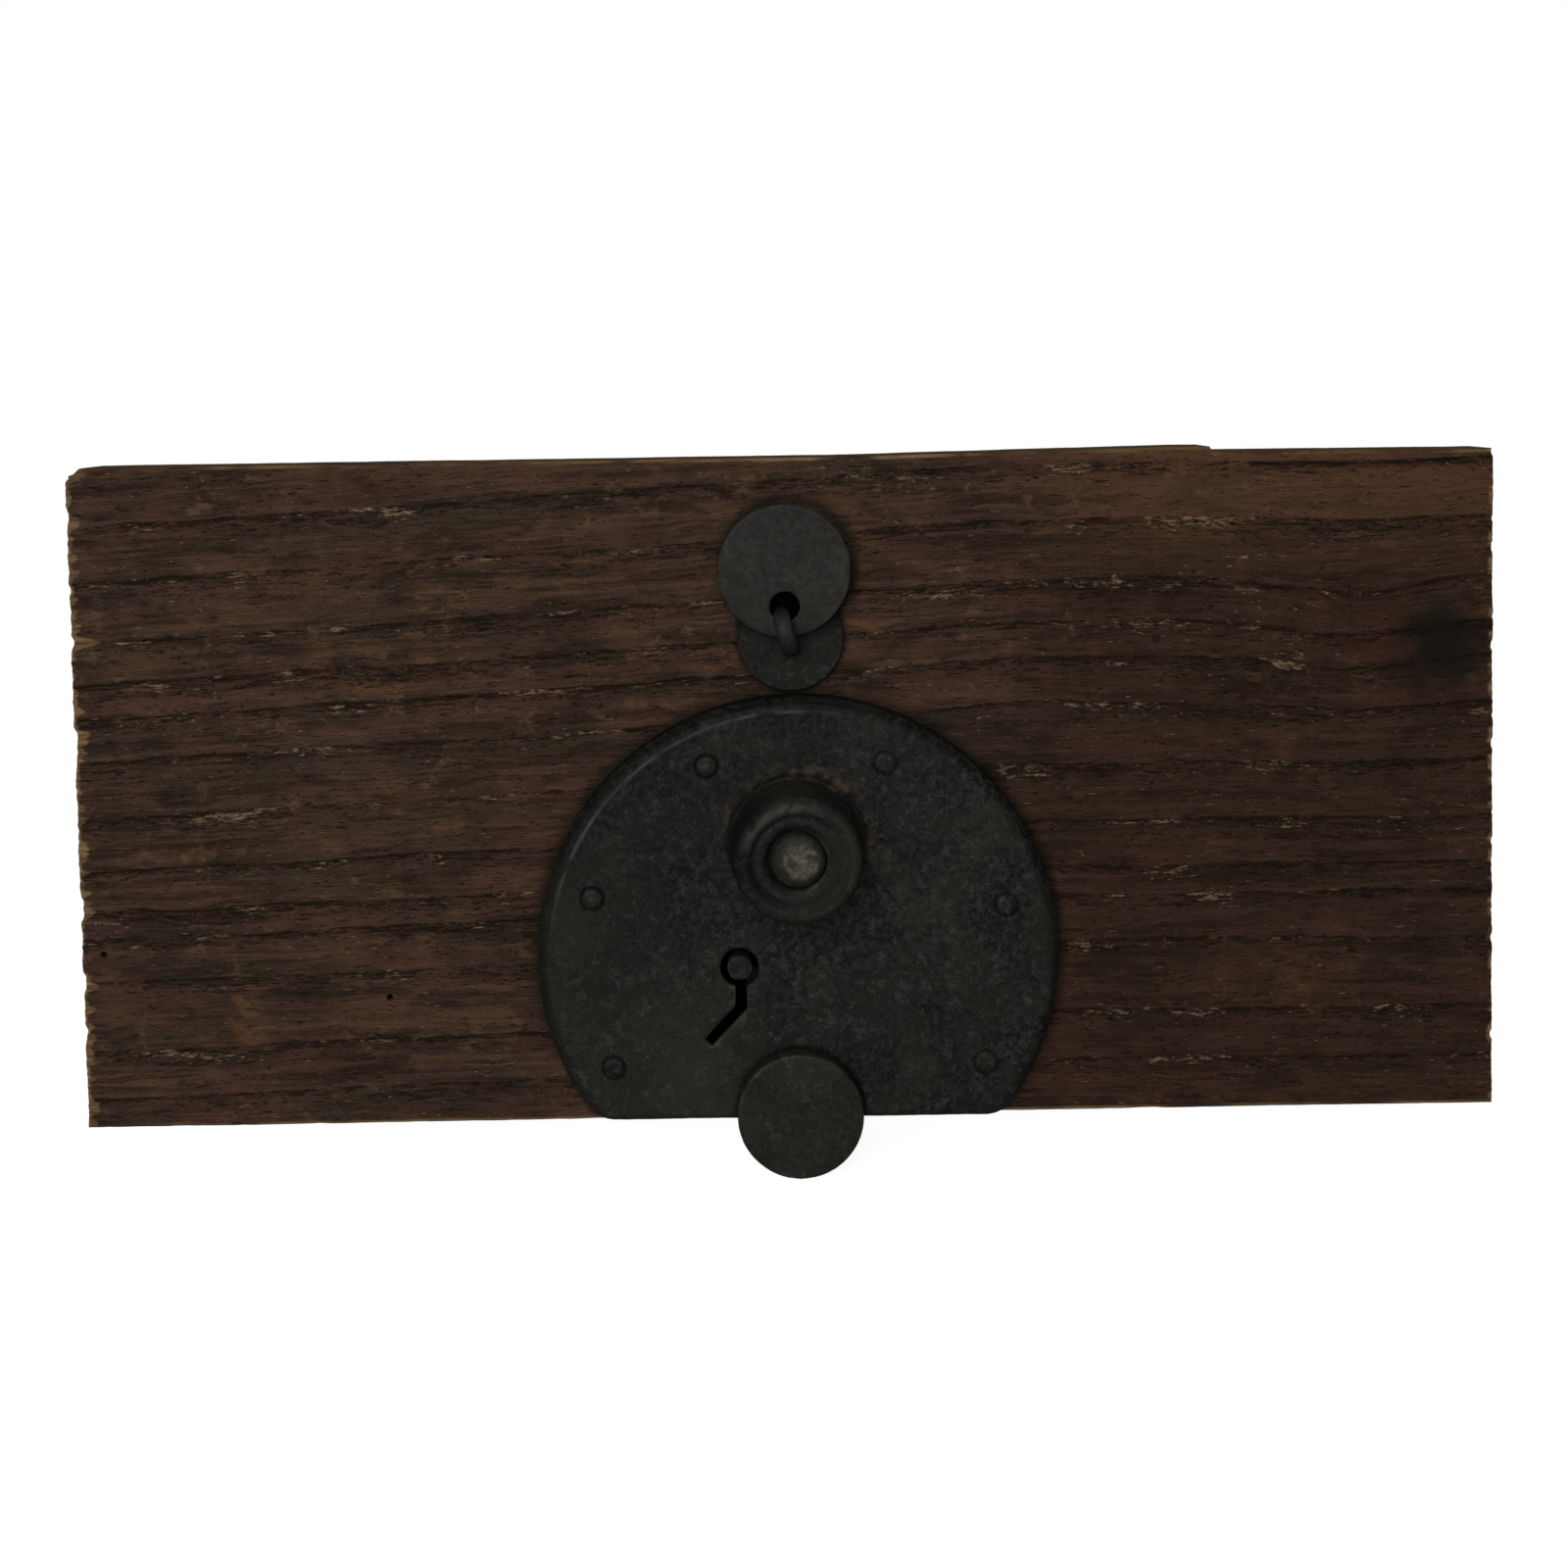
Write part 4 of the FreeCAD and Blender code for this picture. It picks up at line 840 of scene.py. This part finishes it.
# painted shade and grime round the ironwork, and the ink blot near the right end
to_plate = np.maximum(from_axis(points, PLATE_CENTRE) - plate_radius, 0)
to_disc = np.abs(from_axis(points, disc_centre + 1 * MM) - disc_radius)
to_rose = np.maximum(from_axis(points, rose_centre) - 15 * MM, 0)
stain = 0.7 * bell(to_plate, 2.2) + 0.8 * bell(to_disc, 1.8) + 0.8 * bell(to_rose, 1.2)
blot = np.hypot((x - STAIN[0]) / 13, (z - STAIN[1]) / 12.5) / MM
stain = np.maximum(stain, 0.92 * step(-blot + 0.6 * fractal(points, 7, 181), -1.4, -0.4))
upper_right = step(z, 100 * MM, 132 * MM) * step(x, 50 * MM, 110 * MM)
warm = upper_right * (0.35 + 0.35 * fractal(points, (20, 60, 5), 183))
warm = np.maximum(warm, 0.7 * faded_spots(points))
deep = step(x, 30 * MM, 90 * MM) * (1 - step(z, 100 * MM, 130 * MM))
deep = np.maximum(deep, step(fractal(points, (40, 60, 16), 187), 0.15, 0.6) * 0.7)
red = bell(np.hypot((x - RED_PATCH[0]) / 12, (z - RED_PATCH[1]) / 9), 1)
masks.update(
    red=0.7 * red * step(fractal(points, (9, 9, 3), 189), -0.5, 0.2) * frontal,
    fleck=scratches(points) * frontal,
    stain=np.clip(stain, 0, 1) * frontal,
    warm=np.clip(warm, 0, 1) * frontal,
    deep=deep * frontal,
    bare=bare,
    back=(1 - frontal) * 0.8,
)
for name, values in masks.items():
    mask(mesh, name, values)
smooth_shading(mesh)
place_piece(board, "lock_body", "wood", wood_finish("old_wood"), "board")

# ---- iron pieces

plate_iron = iron_finish("plate_iron", tint(13, 13, 12), tint(34, 34, 31))
disc_iron = iron_finish("disc_iron", tint(32, 31, 28), tint(43, 42, 38), rusty=0.3, speckled=0.22)
boss_iron = iron_finish("boss_iron", tint(19, 19, 17), tint(33, 32, 29), rough=0.6, speckled=0.4)
inner_iron = iron_finish("inner_iron", tint(34, 32, 29), tint(62, 58, 53), rusty=0.6)
# near-black iron that stands for the shade inside the board and case
inside_shade_iron = iron_finish("inside_shade_iron", tint(5, 5, 5), tint(11, 10, 10), rusty=0.05, speckled=0.1)


NAIL_HEAD = 3.0 * MM

# lock plate, with its crisp keyhole, painted shade round the nails, the boss and the guard disc, and rust
# creeping out from under the boss
KEYHOLE_RADIUS = 5.4 * MM
KEY_STEM = (-1.2 * MM, 1.9 * MM)
KEY_KNEE = 11.2 * MM
KEY_LEG_END = np.array([-9.0, -21.2]) * MM
KEY_LEG_WIDTH = 2.8 * MM
RIM_WIDTH = 3.9 * MM
RIM_DROP = 0.7 * MM


def keyhole_cutters(back, front):
    """The ring, the short stem under it and the slanting leg, from one depth to another."""
    x, z = key_centre
    knee = np.array([sum(KEY_STEM) / 2, -KEY_KNEE])
    leg = KEY_LEG_END - knee
    reach = np.linalg.norm(leg) / 2
    middle = key_centre + (KEY_LEG_END + knee) / 2
    half = KEY_LEG_WIDTH / 2
    return [
        rod_cutter(x, z, KEYHOLE_RADIUS, back, front, 64),
        box_cutter((x + KEY_STEM[0], back, z - KEY_KNEE - half / 2),
                   (x + KEY_STEM[1], front, z - KEYHOLE_RADIUS / 2)),
        box_cutter((middle[0] - reach, back, middle[1] - half), (middle[0] + reach, front, middle[1] + half),
                   math.atan2(-leg[1], -leg[0])),
    ]


plate = forged("lock_plate", 0.45 * MM, 200)
points = points_of(plate.data)
rim = from_axis(points, PLATE_CENTRE) - plate_radius
near_front = step(plate_low[1] + 4 * MM - points[:, 1], 0, 2 * MM)
points[:, 1] += RIM_DROP * step(rim, -RIM_WIDTH, -0.4 * MM) * near_front
set_points(plate.data, points)
carve(plate, keyhole_cutters(plate_low[1] - OVER, plate_low[1] + 3 * MM))
points = points_of(plate.data)
radius = from_axis(points, boss_centre)
angle = bearing(points, boss_centre)
upper = 0.2 + 0.8 * step(np.sin(angle + 0.3), -0.3, 0.5)
creep = bell(radius - 20.5 * MM, 2.0) * upper * step(lumps(points, 3.2, 210, 3), -0.1, 0.3)
mask(plate.data, "rust", np.clip(creep, 0, 1) * 0.95)
from_nails = np.min([from_axis(points, centre) for centre in nail_centres], axis=0)
from_guard = from_axis(points, guard_centre)
# painted shade: dark rings round the nail heads, the boss foot and the guard disc
grime_and_shade = 0.7 * bell(from_nails - NAIL_HEAD - 0.2 * MM, 0.5) + 0.5 * bell(radius - 19.6 * MM, 0.6)
grime_and_shade = grime_and_shade + 0.65 * bell(from_guard - guard_radius, 1.1)
rim = from_axis(points, PLATE_CENTRE) - plate_radius
# painted shade on the outer bevel, and darker towards the upper left as painted shade
bevel = step(rim, -RIM_WIDTH + 0.2 * MM, -RIM_WIDTH + 1.2 * MM)
high_left = step(points[:, 2] - points[:, 0], 20 * MM, 70 * MM)
mask(plate.data, "grime_and_shade", np.clip(grime_and_shade + 0.25 * bevel + 0.18 * high_left, 0, 0.95))
# painted highlight along the upper left arris, partly rubbed wear
upper_left = step(np.cos(bearing(points, PLATE_CENTRE) - math.radians(122)), 0.55, 0.9)
wear_and_highlight = bell(rim + RIM_WIDTH - 0.1 * MM, 0.4) * step(lumps(points, 6, 220, 2), -0.5, 0.2)
mask(plate.data, "wear_and_highlight", wear_and_highlight * upper_left)
# olive tint towards the lower left, which also lightens it there as painted light
low_left = step(-points[:, 0] - points[:, 2], 10 * MM, 70 * MM)
mask(plate.data, "olive", 0.6 * low_left)
place_piece(plate, "lock_body", "dark_iron", plate_iron, "lock_plate")

# round post in the keyhole
post = forged("key_post", 0.25 * MM, 250, hammer=0.03 * MM, scale=0.02 * MM, pits=0.05 * MM)
place_piece(post, "lock_body", "inner_iron", plate_iron, "key_post")

# boss collar: a stout turned cylinder with two beads round the button
front = boss_low[1]
foot = plate_low[1]
boss_back = boss_high[1]
BORE = 8.08 * MM
collar_profile = [
    (BORE, boss_back), (11 * MM, boss_back), (11 * MM, foot), (19.3 * MM, foot), (19.1 * MM, foot - 0.9 * MM),
    (18.3 * MM, foot - 1.9 * MM), (17.6 * MM, front + 4.2 * MM), (17.3 * MM, front + 2.0 * MM),
    (16.5 * MM, front + 0.7 * MM), (15.3 * MM, front + 0.1 * MM), (14.2 * MM, front),
    (13.3 * MM, front + 0.5 * MM), (12.6 * MM, front + 1.2 * MM), (11.9 * MM, front + 1.3 * MM),
    (11.2 * MM, front + 1.0 * MM), (10.4 * MM, front + 1.0 * MM), (9.7 * MM, front + 1.3 * MM),
    (9.1 * MM, front + 1.9 * MM), (8.5 * MM, front + 2.6 * MM), (BORE, front + 3.1 * MM),
]
collar = lathe("boss_collar_iron", refine(collar_profile, 0.3 * MM, 1), [boss_centre], 320)
points = points_of(collar.data)
radius = from_axis(points, boss_centre)
angle = bearing(points, boss_centre)
battered = step(np.cos(angle + math.radians(25)), -0.1, 0.6) * step(15.4 * MM - radius, 0, 1 * MM)
battered = battered * step(points[:, 1], front + 4 * MM, front + 3.4 * MM)
level = front + 0.35 * MM + 0.5 * MM * step(radius, 10 * MM, 8.1 * MM)
points[:, 1] += 0.8 * battered * (level - points[:, 1])
set_points(collar.data, points)
outside = step(radius, 8.3 * MM, 9.2 * MM) * step(-points[:, 1], -foot, -foot + 0.6 * MM)
forge(collar, 0.35 * MM, 300, hammer=0.32 * MM, scale=0.07 * MM, still=outside)
low_wall = bell(points[:, 1] - foot, 2.2) * step(np.sin(angle), -0.1, 0.5)
mask(collar.data, "rust", low_wall * step(lumps(points, 3, 310, 3), 0.0, 0.35) * 0.7)
# darker on the left side of the collar
leftward = step(np.cos(angle - math.radians(170)), 0.35, 0.95) * step(radius, 11 * MM, 14 * MM)
# painted shade in the creases by the inner bead and the bore
creases = (bell(radius - 12.3 * MM, 0.9) + bell(radius - BORE, 0.8)) * (1 - battered)
mask(collar.data, "grime_and_shade", np.clip(0.4 * leftward + 0.4 * creases + 0.3 * battered, 0, 0.8))
# painted light: the top wall gets a lighter olive tint, and the olive is also lighter towards the lower right
top_wall = step(np.sin(angle), 0.2, 0.8) * step(radius, 16 * MM, 17.5 * MM)
lower_right = step(np.cos(angle + math.radians(30)), -0.2, 0.6)
mask(collar.data, "olive", np.maximum(0.25 * lower_right, 0.35 * top_wall))
# painted highlight on the upper left of the front bead
lit_bead = bell(radius - 14.4 * MM, 1.2) * step(np.cos(angle - math.radians(118)), 0.45, 0.95)
mask(collar.data, "wear_and_highlight", 0.85 * lit_bead * step(lumps(points, 2.5, 320, 2), -0.5, 0.3))
place_piece(collar, "lock_body", "dark_iron", boss_iron, "boss_collar")

# push button: domed, with a bright worn tip
button_low, button_high = corners_of("push_button")
tip = button_low[1]
CASE_LID = 3.2 * MM
flange_front = foot + CASE_LID + 0.1 * MM
flange_back = -21.7 * MM
button_profile = [
    (0, button_high[1]), (3 * MM, button_high[1]), (3 * MM, flange_back), (9.8 * MM, flange_back),
    (9.8 * MM, flange_front), (8 * MM, flange_front), (8 * MM, tip + 3.0 * MM), (7.5 * MM, tip + 1.9 * MM),
    (6.7 * MM, tip + 1.1 * MM), (5.5 * MM, tip + 0.5 * MM), (4.0 * MM, tip + 0.1 * MM), (0, tip),
]
button = lathe("push_button_iron", refine(button_profile, 0.3 * MM), [boss_centre], 200)
points = points_of(button.data)
capped = step(-points[:, 1], -tip - 3.2 * MM, -tip - 2.0 * MM)
forge(button, 0.3 * MM, 400, hammer=0.12 * MM, scale=0.06 * MM, still=capped)
radius = from_axis(points, boss_centre + [0.6 * MM, 0.3 * MM])
ragged = radius + 1.4 * MM * lumps(points, 3.0, 410, 3)
polish_and_highlight = step(-ragged, -7.2 * MM, -2.4 * MM) * (0.85 + 0.15 * lumps(points, 1.6, 420))
mask(button.data, "polish_and_highlight", polish_and_highlight * capped)
# painted shade in the ring where the button meets the bore
mask(button.data, "grime_and_shade", 0.3 * step(from_axis(points, boss_centre), 6.2 * MM, 7.4 * MM))
place_piece(button, "button", "worn_iron", boss_iron, "push_button")

# guard disc over the bolt's way out
guard = forged("guard_disc", 0.4 * MM, 500)
mask(guard.data, "olive", np.full(len(guard.data.vertices), 0.5))
place_piece(guard, "lock_body", "dark_iron", plate_iron, "guard_disc")

# disc pull, and the darker rose behind it
disc_hole = disc_centre - [0, 10.1 * MM]
for node, name, body, seed, material in (
    ("pull_disc", "pull_disc_iron", "pull", 600, disc_iron),
    ("pull_backplate", "pull_rose_iron", "lock_body", 700, plate_iron),
):
    piece = remeshed(node, name, 0.3 * MM)
    gentle = np.full(len(piece.data.vertices), 0.6)
    forge(piece, 0.3 * MM, seed, still=gentle)
    if node == "pull_backplate":
        points = points_of(piece.data)
        # painted shade round the pull's hole and in the upper part under the disc; the rose is also a little
        # darker all over
        behind = step(5.5 * MM - from_axis(points, disc_hole), -0.5 * MM, 1.5 * MM)
        shaded = 0.35 * step(points[:, 2], rose_centre[1] - 2 * MM, rose_centre[1] + 6 * MM)
        mask(piece.data, "grime_and_shade", np.clip(0.2 + shaded + behind, 0, 1))
        mask(piece.data, "olive", np.full(len(points), 0.3))
    place_piece(piece, body, "dark_iron", material, node)

# nails round the plate: domed heads, the right-hand ones beaten flatter
nail_low, nail_high = corners_of("plate_nails")
nail_top = nail_low[1]
SHANK = 1.3 * MM
nail_profile = [
    (0, nail_high[1]), (SHANK, nail_high[1]), (SHANK, foot), (NAIL_HEAD, foot), (NAIL_HEAD, foot - 0.25 * MM),
    (NAIL_HEAD * 0.85, foot - 0.75 * MM), (NAIL_HEAD * 0.55, nail_top + 0.12 * MM), (0, nail_top),
]
nails = lathe("plate_nails_iron", refine(nail_profile, 0.2 * MM), nail_centres, 48)
points = points_of(nails.data)
sunk = np.where(points[:, 0] > 0, 0.5, 0.95)
points[:, 1] = np.where(points[:, 1] < foot, foot + (points[:, 1] - foot) * sunk, points[:, 1])
set_points(nails.data, points)
forge(nails, 0.22 * MM, 800, hammer=0.12 * MM, still=np.where(points[:, 1] < foot - 0.05 * MM, 1.0, 0.0))
# painted highlights on the upper left nail heads
shiny = [centre for centre in nail_centres if centre[0] < 0 < centre[1]]
from_shiny = np.min([from_axis(points, centre) for centre in shiny], axis=0)
mask(nails.data, "polish_and_highlight", 0.5 * bell(from_shiny, 0.9) * (points[:, 1] < foot))
# painted shadow ring round the edge of each head
from_axes = np.min([from_axis(points, centre) for centre in nail_centres], axis=0)
mask(nails.data, "grime_and_shade", 0.4 * step(from_axes, NAIL_HEAD * 0.78, NAIL_HEAD * 0.97))
place_piece(nails, "lock_body", "dark_iron", plate_iron, "plate_nails")


def build_eye():
    """The flattened strip that holds the disc: clinched behind the board, looped in front."""
    ring_radius = 5.6 * MM
    loop_depth = -22.7 * MM
    clinch, clinch_depth, bend = 10 * MM, -1.6 * MM, 1.2 * MM
    path = [(h, clinch_depth) for h in np.linspace(ring_radius + clinch, ring_radius + bend, 12)]
    path += [(ring_radius + bend * (1 - math.sin(a)), clinch_depth - bend * (1 - math.cos(a)))
             for a in np.linspace(0.2, math.pi / 2, 5)]
    path += [(ring_radius, y) for y in np.linspace(clinch_depth - 1.5 * bend, loop_depth, 50)]
    path += [(ring_radius * math.cos(a), loop_depth - ring_radius * math.sin(a))
             for a in np.linspace(0, math.pi / 2, 20)[1:]]
    path = np.array(path)
    path = np.concatenate([path, (path * [-1, 1])[-2::-1]])
    ahead = np.gradient(path, axis=0)
    ahead /= np.linalg.norm(ahead, axis=1)[:, None]
    sides = 28
    turns = np.arange(sides) * 2 * math.pi / sides
    points = []
    for (height, depth), (up, deep) in zip(path, ahead):
        flat = step(-depth, 19.3 * MM, 21.5 * MM)
        half_width = (1.45 + 0.95 * flat) * MM
        half_thick = (1.45 - 0.35 * flat) * MM
        for a in turns:
            wide = half_width * np.sign(math.cos(a)) * abs(math.cos(a)) ** 0.75
            thick = half_thick * np.sign(math.sin(a)) * abs(math.sin(a)) ** 0.75
            points.append((wide, depth + thick * up, height - thick * deep))
    points = turned(np.array(points), EYE_TURN) + eye_middle * [1, 0, 1]
    last = (len(path) - 1) * sides
    faces = []
    for start in range(0, last, sides):
        for i in range(sides):
            j = (i + 1) % sides
            faces.append((start + i, start + sides + i, start + sides + j, start + j))
    faces += [tuple(range(sides)), tuple(range(last + sides - 1, last - 1, -1))]
    return make_mesh("pull_eye_iron", points, faces)


eye = build_eye()
forge(eye, 0.35 * MM, 900, hammer=0.12 * MM, scale=0.05 * MM)
# painted highlight: the front part of the strip lighter
mask(eye.data, "wear_and_highlight", 0.25 * step(-points_of(eye.data)[:, 1], 21 * MM, 24 * MM))
place_piece(eye, "lock_body", "dark_iron", disc_iron, "pull_eye")

# iron plate let into the back of the board
back_plate = forged("back_plate", 0.4 * MM, 1000, hammer=0.05 * MM, scale=0.03 * MM, pits=0.1 * MM)
points = points_of(back_plate.data)
# painted shade on its front face, which looks into the mortise
mask(back_plate.data, "grime_and_shade", step(back_low[1] + 0.4 * MM - points[:, 1], 0, 0.2 * MM))
place_piece(back_plate, "lock_body", "inner_iron", inner_iron, "back_plate")

# bolt, filed bright on its faces
bolt = forged("bolt", 0.3 * MM, 1100, hammer=0.02 * MM, scale=0.015 * MM, pits=0.05 * MM)
place_piece(bolt, "bolt", "inner_iron", inner_iron, "bolt")

# the two leaf springs, as fine meshes of their own with a steel finish
LEAF_BASE = -6.75 * MM
LEAF_KEEP = 0.466
HOOK_SIDE = -45 * MM
for node, joint, axis, anchor, keep in (
    ("bolt_return_spring", "bolt_throw", (0, 0, 1), (0, 0, LEAF_BASE), LEAF_KEEP),
    ("detent_spring", "detent_lift", (1, 0, 0), (HOOK_SIDE, 0, 0), 0.5),
):
    leaf = remeshed(node, node + "_leaf", 0.15 * MM)
    place_piece(leaf, "lock_body", "spring_steel", spring_finish(node + "_steel"), node)
    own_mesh(leaf)

# pieces shut up inside the board and case; only nails and rivets come out at the back
for node, thing in frame["nodes"].items():
    if not thing.hide_render:
        seen_behind = node in ("back_plate_nails", "guide_rivets", "detent_pivot", "spring_anchor")
        thing.data.materials.clear()
        # the hidden pieces get near-black iron as painted shade
        thing.data.materials.append(inner_iron if seen_behind else inside_shade_iron)

# ---- floor, light and camera

floor_size = 6.0
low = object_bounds()[0][2]
floor = make_mesh("floor", [(x, y, low) for x, y in ((-floor_size, -floor_size), (floor_size, -floor_size),
                                                   (floor_size, floor_size), (-floor_size, floor_size))],
                  [(0, 1, 2, 3)])
pale = Finish("pale_floor")
pale.done(pale.mix(pale.noise(pale.place, 3.0), (0.28, 0.28, 0.28, 1), (0.32, 0.32, 0.32, 1)), 0.9,
          pale.bump(pale.noise(pale.place, 40.0), 0.0002), specular=0.0)
pale.feed(pale.shader.inputs["Emission Color"], (1, 1, 1, 1))
pale.feed(pale.shader.inputs["Emission Strength"], 0.9)
floor.data.materials.append(pale.material)
floor.visible_glossy = False
floor.visible_diffuse = False
floor.visible_shadow = False

# an even white room: full strength behind the object, dimmer as light, dimmer still in reflections
BEHIND, AS_LIGHT, IN_GLOSS = 1.0, 0.35, 0.12
world = bpy.data.worlds.new("studio")
bpy.context.scene.world = world
world.use_nodes = True
tree = world.node_tree
rays = tree.nodes.new("ShaderNodeLightPath")
strength = AS_LIGHT
for ray, level in (("Is Camera Ray", BEHIND), ("Is Glossy Ray", IN_GLOSS)):
    share = tree.nodes.new("ShaderNodeMath")
    share.operation = "MULTIPLY_ADD"
    tree.links.new(rays.outputs[ray], share.inputs[0])
    share.inputs[1].default_value = level - AS_LIGHT
    if isinstance(strength, float):
        share.inputs[2].default_value = strength
    else:
        tree.links.new(strength, share.inputs[2])
    strength = share.outputs[0]
background = tree.nodes["Background"]
background.inputs["Color"].default_value = (1, 1, 1, 1)
tree.links.new(strength, background.inputs["Strength"])


def softbox(name, place, target, size, power):
    light = bpy.data.lights.new(name, "AREA")
    light.shape = "SQUARE"
    light.size = size
    light.energy = power
    lamp = new_object(name, light)
    lamp.location = place
    lamp.rotation_mode = "QUATERNION"
    lamp.rotation_quaternion = Vector(target - place).to_track_quat("-Z", "Y")
    return lamp


middle = (np.array(cad_low) + np.array(cad_high)) / 2
softbox("key", middle + [-0.32, -1.15, 0.5], middle, 0.9, 12)

CAMERA_DISTANCE = 0.4502
TILT_DOWN = math.radians(2.163)
ROLL = math.radians(0.864)
camera_data = bpy.data.cameras.new("camera")
camera_data.lens = 36.71
camera_data.sensor_width = 36
camera_data.shift_x = 0.0072
camera_data.shift_y = -0.215
camera_data.clip_start = 0.01
camera = new_object("camera", camera_data)
camera.location = (-0.0048, board_low[1] - CAMERA_DISTANCE, 0.1601)
camera.rotation_euler = (math.pi / 2 - TILT_DOWN, ROLL, 0)
bpy.context.scene.camera = camera
bpy.context.scene.view_settings.view_transform = "Standard"

bpy.context.view_layer.update()
